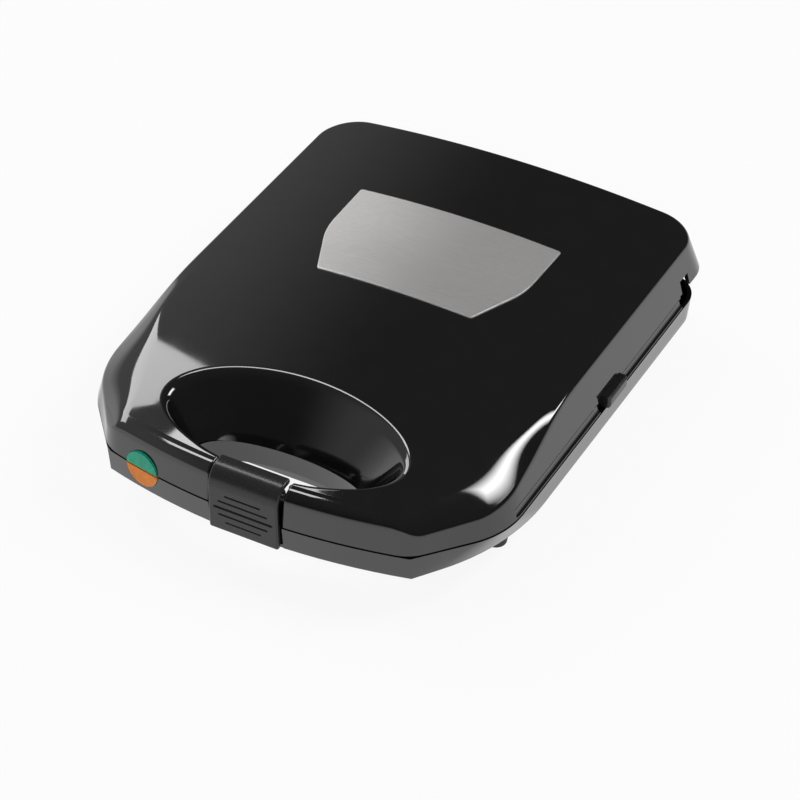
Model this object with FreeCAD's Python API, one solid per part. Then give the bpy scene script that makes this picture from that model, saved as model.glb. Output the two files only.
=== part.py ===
import FreeCAD, Part
import math
import os

from FreeCAD import Vector

# A four-slice sandwich maker with a hinged lid, lifted-out cooking plates and a handle that goes
# through both halves. Millimetres. X runs across, the front faces -Y, Z is up, and the origin is on
# the table under the middle of the closed object.

# Overall sizes
body_width = 260.0
body_depth = 324.0
seam_gap = 1.2
wall = 2.6
overrun = 20.0

# Plan of both halves at the seam
front_corner_inset = 36.0
front_bow = 12.0
shoulder_radius = 50.0
shoulder_setback = 72.0
lid_back_radius = 23.0
base_back_setback = 17.0
base_back_radius = 22.0

# Lid form
lid_side_height = 30.3
crown_rise = 10.0
side_draft = 8.0
front_draft = 3.0
back_draft = 7.0
slope_start_setback = 147.0
slope_radius = 576.0
front_face_height = 13.0
front_roll_radius = 9.5
front_roll_run = 9.0
front_roll_climb = 3.6
front_roll_over = 0.15
cove_radius = 4.0
cove_depth = 1.3
cove_height = 4.8
cove_front_setback = 66.0
top_samples = 61
cross_samples = 41

# Facets at the lid's front corners. Each row is the share of the facet's length from its rear end, its
# width in from the side wall, and how far it has fallen at the wall.
facet_length = 125.0
facet_rear_setback = 136.0
facet_width = 29.5
facet_fall = 7.7
facet_least_width = 9.0
facet_power = 1.7
facet_shares = [
    (0.00, 0.00, 0.00),
    (0.15, 0.14, 0.58),
    (0.35, 0.48, 0.93),
    (0.60, 1.00, 1.00),
    (0.78, 0.83, 0.97),
    (0.92, 0.37, 0.86),
    (1.00, 0.00, 0.77),
    (1.25, 0.00, 0.60),
]

# Handle opening, an oval that narrows from the lid's top to the seam
opening_corner_inset = 42.0
opening_half_depth = 20.0
opening_setback = 36.5
opening_flare_width_share = 0.74
opening_flare_depth_share = 0.42
opening_flare_back_share = 0.27
opening_rim = 4.0
opening_tilt = 10.0
base_opening_taper = 1.5

# Base form
foot_height = 9.0
base_rim_height = 15.0
base_rim_draft = 1.6
base_shoulder_radius = 125.0
base_shoulder_setback = 100.0
tub_inset = 4.0
tub_draft = 9.0
tub_front_setback = 60.5
tub_radius = 22.0
base_room = 3.6

# Metal plate on the lid
badge_back_setback = 78.0
badge_length = 81.0
badge_back_half = 65.5
badge_knee_half = 64.5
badge_knee_share = 0.54
badge_front_half = 49.0
badge_corner = 5.0
badge_thickness = 0.8

# Hinge
hinge_back_setback = 15.75
hinge_rise = 6.3
hinge_pin_radius = 2.0
hinge_play = 0.06
hinge_barrel_radius = 5.5
hinge_side_inset = 54.0
hinge_ear_width = 12.0
hinge_arm_width = 5.5
hinge_side_play = 0.5
hinge_web_drop = 3.4
hinge_web_degrees = 40
hinge_plate_rise = 14.0
hinge_plate_thickness = 3.0
hinge_plate_reach = 16.0
skirt_rise = 8.3
notch_back_setback = 44.0
notch_length = 10.0
notch_height = 15.2
notch_step_length = 3.0
notch_step_height = 7.5

# Cooking plates
plate_side_room = 18.0
plate_back_setback = 34.0
plate_front_setback = 66.0
plate_gap = 0.6
plate_flange = 3.0
plate_border = 10.0
plate_rib = 6.0
plate_hub_radius = 18.0
plate_wall = 2.5
plate_corner = 6.0
pocket_depth = 12.0
pocket_floor_share = 0.84
pocket_edge = 3.0
plate_play = 0.6
ear_length = 4.5
ear_reach = 5.0
ear_thickness = 2.0
ear_riser = 1.6
ear_spacing = 19.0
ear_lift = 1.2

# Inner frames
frame_play = 0.4
frame_lift = 0.4
frame_height = 5.5
frame_ledge = 4.0
frame_seat_play = 0.2
frame_back_setback = 24.0

# Release sliders
release_travel = 5.0
release_front_setback = 173.0
tab_length = 23.0
tab_height = 7.5
tab_proud = 3.0
tab_round = 2.0
tab_play = 0.5
slider_floor = 1.2
slider_play = 0.2
slider_bar = 6.5
slider_margin = 4.5
slider_height = 4.0
finger_height = 1.8
finger_reach = 6.0
spring_length = 13.0
spring_radius = 1.7
spring_wire = 0.35
spring_turns = 6
spring_end_play = 0.1

# Heating parts of each half
element_radius = 3.2
element_play = 0.2
element_hole_play = 0.6
element_inset = 46.0
element_bend = 7.0
element_tail = 2.0
element_tail_half = 14.0
shield_fit = 1.5
shield_draft = 8.0
shield_sheet = 1.0
shield_play = 2.4
shield_tab = 16.0
shield_tab_bite = 6.0
shield_radius = 12.0
clip_width = 8.0
clip_sheet = 1.2
clip_share = 0.55
clip_grip = 1.2

# Latch
latch_half_width = 21.4
latch_side_play = 1.35
latch_proud = 1.5
latch_skin = 3.4
latch_roll_radius = 11.5
latch_lip = 3.8
latch_pivot_setback = 6.5
latch_pivot_rise = 16.3
latch_boss_radius = 4.2
latch_pin_radius = 2.0
latch_bottom_rise = 0.4
latch_play = 0.6
latch_groove_height = 1.5
latch_groove_depth = 0.9
latch_groove_pitch = 4.6
latch_groove_rise = 10.4
latch_groove_shares = [0.52, 0.72, 0.86, 0.72, 0.52]
slot_floor_setback = 11.2
slot_floor_rise = 12.0

# Indicator
lens_corner_inset = 26.0
lens_radius = 11.0
lens_thickness = 6.0
lens_seat = 1.5
lens_proud = 0.5
lens_flange = 1.4
lens_play = 0.15
lamp_radius = 3.0
lamp_length = 14.0
lamp_setback = 9.0

# Feet and fasteners
foot_radius = 7.6
foot_taper = 1.4
foot_side_inset = 23.0
foot_front_setback = 86.5
foot_back_setback = 52.0
foot_stem_radius = 3.0
foot_stem_play = 0.1
foot_stem_length = 4.6
screw_radius = 1.7
screw_head_radius = 3.2
screw_head_height = 2.0
screw_play = 0.1
screw_cross_half = 1.9
screw_cross_width = 0.8
screw_cross_depth = 0.7
screw_boss_radius = 4.0
base_screw_side_inset = 42.0
base_screw_end_inset = 34.0
frame_screw_side_inset = 10.5
frame_screw_end_inset = 26.0
frame_screw_length = 10.0
base_screw_bite = 4.0

# Electrical parts in the base
thermostat_radius = 8.5
thermostat_height = 6.0
thermostat_x = -32.0
thermostat_y = 34.0
thermostat_cap_radius = 6.0
fuse_radius = 2.2
fuse_length = 16.0
fuse_x = 34.0
block_length = 32.0
block_depth = 11.0
block_height = 13.0
block_ways = 3
block_screw_radius = 1.8
block_well_depth = 3.0
gland_x = 44.0
gland_rise = 17.0
gland_radius = 5.0
gland_bore = 3.3
gland_flange_radius = 6.8
gland_flange = 1.6
gland_inner_length = 7.0
gland_inner_bore = 4.0
gland_step = 0.6
gland_nose = 4.0
gland_nose_radius = 5.6

# Planes that several pieces share
skirt_tuck = back_draft * skirt_rise / lid_side_height
front_y = (latch_proud + skirt_tuck - body_depth) / 2
back_y = front_y + body_depth
half_width = body_width / 2
front_corner_half = half_width - front_corner_inset
opening_half_width = front_corner_half - opening_corner_inset
plate_face = plate_gap / 2
plate_back_height = plate_face + plate_flange
pocket_back_height = plate_face + pocket_depth + plate_wall
element_height = pocket_back_height + element_play + element_radius
shield_height = element_height + element_radius + shield_play
seam_height = foot_height + wall + base_room + shield_sheet + shield_height
lid_low = seam_height + seam_gap / 2
base_high = seam_height - seam_gap / 2
top_edge = seam_height + lid_side_height
base_back = back_y - base_back_setback
rim_low = base_high - base_rim_height
opening_y = front_y + opening_setback
hinge_y = back_y - hinge_back_setback
hinge_z = seam_height + hinge_rise
hinge_centre_x = half_width - hinge_side_inset
plate_half_x = half_width - plate_side_room
plate_half_y = (body_depth - plate_back_setback - plate_front_setback) / 2
plate_y = back_y - plate_back_setback - plate_half_y
frame_low = seam_gap / 2 + frame_lift
frame_high = frame_low + frame_height
frame_back = back_y - frame_back_setback
frame_screw_x = half_width - frame_screw_side_inset
frame_screw_y = plate_half_y - frame_screw_end_inset
base_screw_x = plate_half_x - base_screw_side_inset
base_screw_y = plate_half_y - base_screw_end_inset
foot_x = half_width - foot_side_inset
element_half_x = plate_half_x - element_inset
element_half_y = plate_half_y - element_inset
shield_half_x = plate_half_x - frame_ledge - shield_fit
shield_half_y = plate_half_y - frame_ledge - shield_fit
tab_rear = front_y + release_front_setback + tab_length
tab_front = tab_rear - tab_length
slider_low = frame_low + slider_floor + slider_play
slider_tuck = side_draft * (slider_low + slider_height) / lid_side_height
slider_outer = half_width - wall - slider_play - slider_tuck
slider_inner = slider_outer - slider_bar
slider_front = tab_front - slider_margin
slider_rear = tab_rear + slider_margin
spring_seat = slider_front - spring_length
slot_half = latch_half_width + latch_side_play
latch_pivot_y = front_y + latch_pivot_setback
latch_pivot_z = seam_height + latch_pivot_rise
lens_x = lens_corner_inset - front_corner_half
front_radius = (front_corner_half ** 2 + front_bow ** 2) / (2 * front_bow)
seam_shoulder = (shoulder_radius, shoulder_setback)
low_shoulder = (base_shoulder_radius, base_shoulder_setback)
tub_lean = math.atan2(tub_draft, base_high - foot_height)


def box(x0, x1, y0, y1, z0, z1):
    return Part.makeBox(x1 - x0, y1 - y0, z1 - z0, Vector(x0, y0, z0))


def cylinder(radius, start, along):
    return Part.makeCylinder(radius, along.Length, start, along)


def prism(points, low, high):
    wire = Part.makePolygon([Vector(x, y, low) for x, y in points] + [Vector(*points[0], low)])
    return Part.Face(wire).extrude(Vector(0, 0, high - low))


def side_profile(points, x0, x1):
    # A flat profile in Y and Z, drawn out along X.
    wire = Part.makePolygon([Vector(x0, y, z) for y, z in points] + [Vector(x0, *points[0])])
    return Part.Face(wire).extrude(Vector(x1 - x0, 0, 0))


def rounded_box(half_x, y0, y1, z0, z1, radius):
    block = box(-half_x, half_x, y0, y1, z0, z1)
    upright = [edge for edge in block.Edges if abs(edge.Length - (z1 - z0)) < radius / 1000
               and abs(edge.tangentAt(edge.FirstParameter).z) > 1 / 2]
    return block.makeFillet(radius, upright)


def rounded_rectangle(half_x, y0, y1, z, radius):
    # Four straight edges and four quarter arcs, always starting on the back edge.
    corners = [(half_x, y1, 0), (-half_x, y1, 90), (-half_x, y0, 180), (half_x, y0, 270)]
    edges = []
    last = None
    first = None
    for x, y, angle in corners:
        centre = Vector(x - math.copysign(radius, x), y - radius if y == y1 else y + radius, z)
        ends = [centre + Vector(radius * math.cos(math.radians(a)), radius * math.sin(math.radians(a)), 0)
                for a in (angle, angle + 45, angle + 90)]
        if last:
            edges.append(Part.LineSegment(last, ends[0]).toShape())
        first = first or ends[0]
        edges.append(Part.Arc(*ends).toShape())
        last = ends[2]
    edges.append(Part.LineSegment(last, first).toShape())
    return Part.Wire(edges)


def mirror_x(shape):
    return shape.mirror(Vector(0, 0, 0), Vector(1, 0, 0))


def over_seam(shape):
    # The lower half's twin of a piece drawn for the upper half.
    return shape.mirror(Vector(0, 0, seam_height), Vector(0, 0, 1))


def joined(shapes):
    whole = shapes[0]
    for shape in shapes[1:]:
        whole = whole.fuse(shape)
    return whole.removeSplitter()


def save(name, shape):
    shape.exportStep(f"parts/{name}.step")
    print(name, len(shape.Solids), round(shape.Volume), shape.isValid())


# Plan outline

def shoulder(half, front, corner_half, bend):
    # Where the shoulder arc leaves the straight taper that runs to the front corner.
    radius, setback = bend
    centre = Vector(half - radius, front + setback, 0)
    corner = Vector(corner_half, front + front_bow, 0)
    reach = corner - centre
    turn = math.atan2(reach.y, reach.x) + math.acos(radius / reach.Length)
    return centre, corner, turn


def plan_outline(z, half, front, back, back_radius, corner_half, bend):
    centre, corner, turn = shoulder(half, front, corner_half, bend)
    lift = Vector(0, 0, z)

    def on_shoulder(angle):
        return centre + Vector(math.cos(angle), math.sin(angle), 0) * bend[0]

    def on_back(angle):
        middle = Vector(half - back_radius, back - back_radius, 0)
        return middle + Vector(back_radius * math.cos(angle), back_radius * math.sin(angle), 0)

    def flip(point):
        return Vector(-point.x, point.y, point.z)

    arc_back = [on_back(math.pi / 2), on_back(math.pi / 4), on_back(0)]
    arc_shoulder = [on_shoulder(0), on_shoulder(turn / 2), on_shoulder(turn)]
    nose = Vector(0, front, 0)
    edges = [
        Part.LineSegment(flip(arc_back[0]), arc_back[0]),
        Part.Arc(*arc_back),
        Part.LineSegment(arc_back[2], arc_shoulder[0]),
        Part.Arc(*arc_shoulder),
        Part.LineSegment(arc_shoulder[2], corner),
        Part.Arc(corner, nose, flip(corner)),
        Part.LineSegment(flip(corner), flip(arc_shoulder[2])),
        Part.Arc(*[flip(p) for p in reversed(arc_shoulder)]),
        Part.LineSegment(flip(arc_shoulder[0]), flip(arc_back[2])),
        Part.Arc(*[flip(p) for p in reversed(arc_back)]),
    ]
    wire = Part.Wire([edge.toShape() for edge in edges])
    wire.translate(lift)
    return wire


def wall_x(y, z):
    # Half width of the lid's outer wall at a place along it and a height.
    climb = (z - seam_height) / lid_side_height
    half = half_width - side_draft * climb
    front = front_y + front_draft * climb
    centre, corner, turn = shoulder(half, front, front_corner_half, seam_shoulder)
    if y >= centre.y:
        return half
    leave = centre + Vector(math.cos(turn), math.sin(turn), 0) * shoulder_radius
    if y >= leave.y:
        return centre.x + math.sqrt(shoulder_radius ** 2 - (y - centre.y) ** 2)
    return leave.x + (corner.x - leave.x) * (leave.y - y) / (leave.y - corner.y)


# Lid surfaces

def blend(rows, place, column):
    # A smooth reading between the rows of a table.
    for before, after in zip(rows, rows[1:]):
        if before[0] <= place <= after[0]:
            part = (place - before[0]) / (after[0] - before[0])
            ease = part * part * (3 - 2 * part)
            mixed = (part + ease) / 2
            return before[column] + (after[column] - before[column]) * mixed
    return rows[-1][column] if place > rows[-1][0] else rows[0][column]


def facet_depth(x, y):
    # How far the facet at a front corner has fallen below the lid's top.
    along = (front_y + facet_rear_setback - y) / facet_length
    if along <= 0:
        return 0
    width = max(facet_least_width, facet_width * blend(facet_shares, along, 1))
    beyond = abs(x) - (wall_x(y, top_edge - facet_fall) - width)
    reach = max(0, beyond / width)
    fallen = reach ** facet_power if reach < 1 else 1 + facet_power * (reach - 1)
    return facet_fall * blend(facet_shares, along, 2) * fallen


def top_height(x, y):
    # The lid's top: crowned across, level at the back, falling on a wide arc to the front, with a
    # convex facet at each front corner.
    half_top = half_width - side_draft
    beyond = max(0, front_y + slope_start_setback - y)
    crown = crown_rise * (1 - (x / half_top) ** 2)
    return top_edge + crown - beyond ** 2 / (2 * slope_radius) - facet_depth(x, y)


def under_top(lift):
    reach_x = half_width + overrun
    start_y = front_y - overrun
    span_y = back_y + overrun - start_y
    rows = []
    for i in range(cross_samples):
        x = reach_x * (2 * i / (cross_samples - 1) - 1)
        row = []
        for j in range(top_samples):
            y = start_y + span_y * j / (top_samples - 1)
            row.append(Vector(x, y, top_height(x, y) + lift))
        rows.append(row)
    surface = Part.BSplineSurface()
    surface.interpolate(rows)
    return surface.toShape().extrude(Vector(0, 0, -(top_edge + crown_rise)))


def front_roll_cutter(inset):
    # Rounds the upper front edge along the bowed front, turned about the bow's centre.
    axis_y = front_y + front_radius
    low = seam_height + front_face_height - inset
    wall_tuck = front_draft * front_face_height / lid_side_height
    outer = front_radius - wall_tuck - inset + front_roll_over
    bend = front_roll_radius
    far = front_radius + overrun
    high = top_edge + crown_rise + overrun
    turn = math.radians(45)
    arc_end = Vector(0, axis_y - (outer - bend), low + bend)
    run_end = Vector(0, arc_end.y + front_roll_run, arc_end.z + front_roll_climb)
    arc_mid = Vector(0, axis_y - (outer - bend + bend * math.cos(turn)), low + bend * math.sin(turn))
    start = Vector(0, axis_y - outer, low)
    away = Vector(0, axis_y - far, low)
    edges = [
        Part.LineSegment(away, start),
        Part.Arc(start, arc_mid, arc_end),
        Part.LineSegment(arc_end, run_end),
        Part.LineSegment(run_end, Vector(0, run_end.y, high)),
        Part.LineSegment(Vector(0, run_end.y, high), Vector(0, away.y, high)),
        Part.LineSegment(Vector(0, away.y, high), away),
    ]
    face = Part.Face(Part.Wire([edge.toShape() for edge in edges]))
    sweep = 2 * math.degrees(math.asin(half_width / front_radius))
    pivot = Vector(0, axis_y, 0)
    face.rotate(pivot, Vector(0, 0, 1), -sweep / 2)
    return face.revolve(pivot, Vector(0, 0, 1), sweep)


def lid_form(inset):
    low = lid_low if inset == 0 else lid_low - overrun
    high = top_edge + crown_rise + overrun
    wires = []
    for z in (low, high):
        climb = (z - seam_height) / lid_side_height
        wires.append(plan_outline(
            z,
            half_width - side_draft * climb - inset,
            front_y + front_draft * climb + inset,
            back_y - back_draft * climb - inset,
            lid_back_radius - inset,
            front_corner_half - inset / 2,
            seam_shoulder,
        ))
    form = Part.makeLoft(wires, True, True).common(under_top(-inset))
    return form.cut(front_roll_cutter(inset))


def oval(z, grow):
    rise = z - seam_height
    ring = Part.Wire(Part.Ellipse(
        Vector(0, 0, 0),
        opening_half_width + opening_flare_width_share * rise + grow,
        opening_half_depth + opening_flare_depth_share * rise + grow,
    ).toShape())
    ring.rotate(Vector(0, 0, 0), Vector(1, 0, 0), opening_tilt)
    ring.translate(Vector(0, opening_y + opening_flare_back_share * rise, z))
    return ring


def lid_opening(grow):
    # A smooth funnel whose mouth rolls outwards at the lid's top.
    rim_z = top_height(0, opening_y)
    levels = [
        (lid_low - overrun, grow),
        (seam_height + (rim_z - seam_height) / 2, grow),
        (rim_z - opening_rim, grow),
        (rim_z - opening_rim / 4, grow + opening_rim / 4),
        (rim_z + opening_rim / 4, grow + opening_rim),
        (rim_z + opening_rim, grow + 3 * opening_rim),
    ]
    return Part.makeLoft([oval(z, more) for z, more in levels], True, True)


def base_opening(grow):
    high = base_high + overrun
    low = rim_low - overrun
    rings = []
    for z in (low, high):
        taper = base_opening_taper * (base_high - z) / base_rim_height
        ring = Part.Wire(Part.Ellipse(
            Vector(0, opening_y, z),
            opening_half_width + taper + grow,
            opening_half_depth + taper + grow,
        ).toShape())
        rings.append(ring)
    return Part.makeLoft(rings, True, True)


def lens_disc(radius, depth_front, depth_back):
    # A disc set square to the bowed front at the indicator's place.
    axis_y = front_y + front_radius
    lean = math.asin(lens_x / front_radius)
    outward = Vector(math.sin(lean), -math.cos(lean), 0)
    face_point = Vector(0, axis_y, seam_height) + outward * front_radius
    return cylinder(radius, face_point - outward * depth_back, outward * (depth_front + depth_back))


def latch_slot(grow):
    # The latch's channel: through the front and top of the bar, with a floor behind its lower part.
    half = slot_half + grow
    low = lid_low - overrun
    high = top_edge + crown_rise
    floor_y = front_y + slot_floor_setback + grow
    deep = box(-half, half, front_y - overrun, floor_y, low, high)
    through = box(-half, half, front_y - overrun, opening_y, seam_height + slot_floor_rise - grow, high)
    return deep.fuse(through)


def lid_shell():
    cavity = lid_form(wall).cut(lid_opening(wall)).cut(latch_slot(wall))
    shell = lid_form(0).cut(lid_opening(0)).cut(latch_slot(0))
    bosses = []
    for x, y in frame_screw_places():
        bosses.append(cylinder(
            screw_boss_radius,
            Vector(x, y, seam_height + frame_high),
            Vector(0, 0, top_edge + crown_rise - seam_height - frame_high),
        ))
    for x in (-hinge_centre_x, hinge_centre_x):
        bosses.append(cylinder(
            screw_boss_radius,
            Vector(x, hinge_y - hinge_plate_reach / 2, hinge_z + hinge_plate_rise + hinge_plate_thickness),
            Vector(0, 0, top_edge + crown_rise - hinge_z - hinge_plate_rise - hinge_plate_thickness),
        ))
    for boss in bosses:
        cavity = cavity.cut(boss)
    shell = shell.cut(cavity)
    rear_clear = notch_back_setback - notch_length
    cuts = [
        box(-body_width, body_width, back_y - rear_clear, back_y + overrun, 0, seam_height + skirt_rise),
        lens_disc(lens_radius + lens_play, overrun, overrun),
        cylinder(
            latch_pin_radius,
            Vector(-slot_half - wall, latch_pivot_y, latch_pivot_z),
            Vector(2 * (slot_half + wall), 0, 0),
        ),
        box(
            half_width - 2 * side_draft, half_width + overrun,
            tab_front - release_travel - tab_play, tab_rear + tab_play,
            lid_low - overrun, seam_height + frame_low + tab_height + tab_play,
        ),
    ]
    for x, y in frame_screw_places():
        start = Vector(x, y, seam_height + frame_low)
        cuts.append(cylinder(screw_radius + screw_play, start, Vector(0, 0, frame_screw_length)))
    for side in (-1, 1):
        inner = side * (half_width - lid_back_radius)
        outer = side * (half_width + overrun)
        low_x, high_x = min(inner, outer), max(inner, outer)
        notch_y = back_y - notch_back_setback
        cuts.append(box(low_x, high_x, notch_y, notch_y + notch_length, 0, lid_low + notch_height))
        step_y = notch_y - notch_step_length
        cuts.append(box(low_x, high_x, step_y, notch_y, 0, lid_low + notch_step_height))
        groove_z = seam_height + cove_height
        groove_x = wall_x(0, groove_z) + cove_radius - cove_depth
        start = Vector(side * groove_x, front_y + cove_front_setback, groove_z)
        cuts.append(cylinder(cove_radius, start, Vector(0, step_y - start.y, 0)))
    for cut in cuts:
        shell = shell.cut(cut)
    return largest(shell)


def largest(shape):
    return max(shape.Solids, key=lambda solid: solid.Volume)


def badge_plate():
    back = back_y - badge_back_setback
    knee = back - badge_knee_share * badge_length
    front = back - badge_length
    half = [(badge_back_half, back), (badge_knee_half, knee), (badge_front_half, front)]
    points = half + [(-x, y) for x, y in reversed(half)]
    blank = prism(points, top_edge, top_edge + crown_rise + overrun)
    upright = [edge for edge in blank.Edges if abs(edge.tangentAt(edge.FirstParameter).z) > 1 / 2]
    blank = blank.makeFillet(badge_corner, upright)
    return blank.common(under_top(badge_thickness)).cut(under_top(0))


def frame_screw_places():
    across = (-frame_screw_x, frame_screw_x)
    along = (plate_y - frame_screw_y, plate_y + frame_screw_y)
    return [(x, y) for x in across for y in along]


def inner_frame(side):
    # The frame that closes the lid and carries its plate. Side is the release's side, 1 or -1.
    gap = wall + frame_play
    low = seam_height + frame_low
    high = seam_height + frame_high
    outline = plan_outline(
        low,
        half_width - gap - side_draft * frame_high / lid_side_height,
        front_y + gap + front_draft,
        frame_back,
        lid_back_radius - gap,
        front_corner_half - gap,
        seam_shoulder,
    )
    frame = Part.Face(outline).extrude(Vector(0, 0, high - low))
    hole_x = plate_half_x + plate_play
    hole_y = plate_half_y + plate_play
    seat = seam_height + plate_back_height + frame_seat_play
    inner_x = plate_half_x - frame_ledge
    inner_y = plate_half_y - frame_ledge
    lamp_room = lens_thickness + lamp_setback + lamp_length
    cuts = [
        rounded_box(hole_x, plate_y - hole_y, plate_y + hole_y,
                    low - overrun, seat, plate_corner + plate_play),
        rounded_box(inner_x, plate_y - inner_y, plate_y + inner_y,
                    low - overrun, high + overrun, plate_corner),
        lid_opening(wall + frame_play),
        latch_slot(wall + frame_play),
        lens_disc(lens_radius + lens_flange + frame_play, overrun, lamp_room),
    ]
    for x, y in frame_screw_places():
        start = Vector(x, y, low - overrun)
        cuts.append(cylinder(screw_radius + screw_play, start, Vector(0, 0, 2 * overrun)))
        well = Vector(0, 0, overrun + screw_head_height)
        cuts.append(cylinder(screw_head_radius + screw_play, start, well))
    well_front = spring_seat - spring_end_play
    well_rear = slider_rear + slider_play
    way_front = tab_front - release_travel - tab_play
    above = high + overrun
    well = box(slider_inner - slider_play, body_width, well_front, well_rear, low + slider_floor, above)
    reach = box(inner_x, slider_inner, slider_front - release_travel, well_rear, low - overrun, above)
    tab_way = box(slider_outer, body_width, way_front, tab_rear + tab_play, 0, above)
    if side < 0:
        well, reach, tab_way = mirror_x(well), mirror_x(reach), mirror_x(tab_way)
    for cut in cuts + [well, reach, tab_way]:
        frame = frame.cut(cut)
    return largest(frame)


def base_inner_frame():
    # The lid frame's twin, trimmed to the base's own walls and opening.
    gap = wall + frame_play
    frame = over_seam(inner_frame(-1)).common(rim_form(gap))
    return largest(frame.cut(base_opening(gap)))


def ear_places():
    middle = (tab_front + tab_rear) / 2
    return [middle - ear_spacing / 2, middle + ear_spacing / 2]


def pocket_outline(grow, turned):
    # One of eight triangles: along a rib, along the border, back along the diagonal rib, and the hub.
    # Turned ones lie along the plate's depth, the others along its width.
    far_x = plate_half_x - plate_border
    far_y = plate_half_y - plate_border
    if turned:
        far_x, far_y = far_y, far_x
    half_rib = plate_rib / 2
    slant = half_rib * math.sqrt(2)
    hub = plate_hub_radius
    hub_slant = hub * math.cos(math.radians(45)) + slant / 2
    points = [(hub, half_rib), (far_x, half_rib), (far_x, far_y - slant), (hub_slant, hub_slant - slant)]
    middle_x = sum(x for x, _ in points) / len(points)
    middle_y = sum(y for _, y in points) / len(points)
    share = 1 + grow / (far_x / 2)
    ring = [(middle_x + (x - middle_x) * share, middle_y + (y - middle_y) * share) for x, y in points]
    return [(y, x) for x, y in ring] if turned else ring


def pocket(grow, low, high, turned):
    # A tapered triangular form between two heights above the seam.
    mouth = pocket_outline(grow, turned)
    middle_x = sum(x for x, _ in mouth) / len(mouth)
    middle_y = sum(y for _, y in mouth) / len(mouth)
    wires = []
    for height, share in ((low, 1), (high, pocket_floor_share)):
        ring = []
        for x, y in mouth:
            place_x = middle_x + (x - middle_x) * share
            place_y = middle_y + (y - middle_y) * share
            ring.append(Vector(place_x, place_y, seam_height + height))
        wires.append(Part.makePolygon(ring + ring[:1]))
    form = Part.makeLoft(wires, True, True)
    inner = [edge for edge in form.Edges
             if max(vertex.Z for vertex in edge.Vertexes) > seam_height + low + (high - low) / 2]
    return form.makeFillet(pocket_edge, inner)


def eight_ways(grow, low, high):
    # Two pockets in each quarter of the plate.
    ring = []
    for turned in (False, True):
        form = pocket(grow, low, high, turned)
        half = [form, mirror_x(form)]
        for copy in half + [piece.mirror(Vector(0, 0, 0), Vector(0, 1, 0)) for piece in half]:
            copy.translate(Vector(0, plate_y, 0))
            ring.append(copy)
    return ring


def cooking_plate(side):
    low = seam_height + plate_face
    high = seam_height + plate_back_height
    plate = rounded_box(plate_half_x, plate_y - plate_half_y, plate_y + plate_half_y, low, high, plate_corner)
    for bulge in eight_ways(plate_wall, plate_face, pocket_back_height):
        plate = plate.fuse(bulge)
    for hollow in eight_ways(0, plate_face - plate_face / 2, plate_face + pocket_depth):
        plate = plate.cut(hollow)
    plate = plate.cut(box(-body_width, body_width, -body_depth, body_depth, 0, low))
    for y in ear_places():
        y0 = y - ear_length / 2
        foot = high - plate_flange / 2
        ear_low = seam_height + slider_low + finger_height + ear_lift / 4
        riser = box(plate_half_x - ear_riser - frame_seat_play, plate_half_x - frame_seat_play,
                    y0, y0 + ear_length, foot, ear_low + ear_thickness)
        tip = box(plate_half_x - ear_riser - frame_seat_play, plate_half_x + ear_reach,
                  y0, y0 + ear_length, ear_low, ear_low + ear_thickness)
        ear = riser.fuse(tip)
        plate = plate.fuse(ear if side > 0 else mirror_x(ear))
    return largest(plate.removeSplitter())


def release_slider(side):
    low = seam_height + slider_low
    bar = box(slider_inner, slider_outer, slider_front, slider_rear, low, low + slider_height)
    tab_low = seam_height + frame_low
    tab = box(slider_inner, half_width + tab_proud, tab_front, tab_rear, low, tab_low + tab_height)
    tab_foot = box(slider_outer + slider_play, half_width + tab_proud, tab_front, tab_rear, tab_low, low)
    tab = tab.fuse(tab_foot).removeSplitter()
    outer = [edge for edge in tab.Edges
             if min(vertex.X for vertex in edge.Vertexes) > half_width + tab_proud / 2]
    pieces = [bar, tab.makeFillet(tab_round, outer)]
    for y in ear_places():
        pieces.append(box(slider_inner - finger_reach, slider_inner + slider_play,
                          y - ear_length / 2, y + ear_length / 2, low, low + finger_height))
    whole = joined(pieces)
    return whole if side > 0 else mirror_x(whole)


def release_spring(side):
    # A coil between the slider's front end and the well's front wall, drawn as one helical wire.
    middle_x = (slider_inner + slider_outer) / 2
    start = Vector(middle_x, spring_seat, seam_height + slider_low + slider_height / 2)
    length = spring_length - 2 * spring_end_play - 2 * spring_wire
    pitch = length / spring_turns
    helix = Part.makeHelix(pitch, length, spring_radius)
    tangent = Vector(0, 2 * math.pi * spring_radius, pitch)
    ring = Part.Wire(Part.Circle(Vector(spring_radius, 0, 0), tangent, spring_wire).toShape())
    coil = Part.Wire(helix).makePipeShell([ring], True, True)
    coil.rotate(Vector(0, 0, 0), Vector(1, 0, 0), -90)
    coil.translate(start + Vector(0, spring_end_play + spring_wire, 0))
    return coil if side > 0 else mirror_x(coil)


def bent_tube(points, radius, bend):
    # A round bar along straight runs joined by tangent arcs.
    edges = []
    last = points[0]
    for before, corner, after in zip(points, points[1:], points[2:]):
        to_before = (before - corner).normalize()
        to_after = (after - corner).normalize()
        opening = to_before.getAngle(to_after)
        cut = bend / math.tan(opening / 2)
        start = corner + to_before * cut
        end = corner + to_after * cut
        inward = (to_before + to_after).normalize()
        middle = corner + inward * (bend / math.sin(opening / 2) - bend)
        edges.append(Part.LineSegment(last, start).toShape())
        edges.append(Part.Arc(start, middle, end).toShape())
        last = end
    edges.append(Part.LineSegment(last, points[-1]).toShape())
    path = Part.Wire(edges)
    along = (points[1] - points[0]).normalize()
    ring = Part.Wire(Part.Circle(points[0], along, radius).toShape())
    return path.makePipeShell([ring], True, True)


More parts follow.
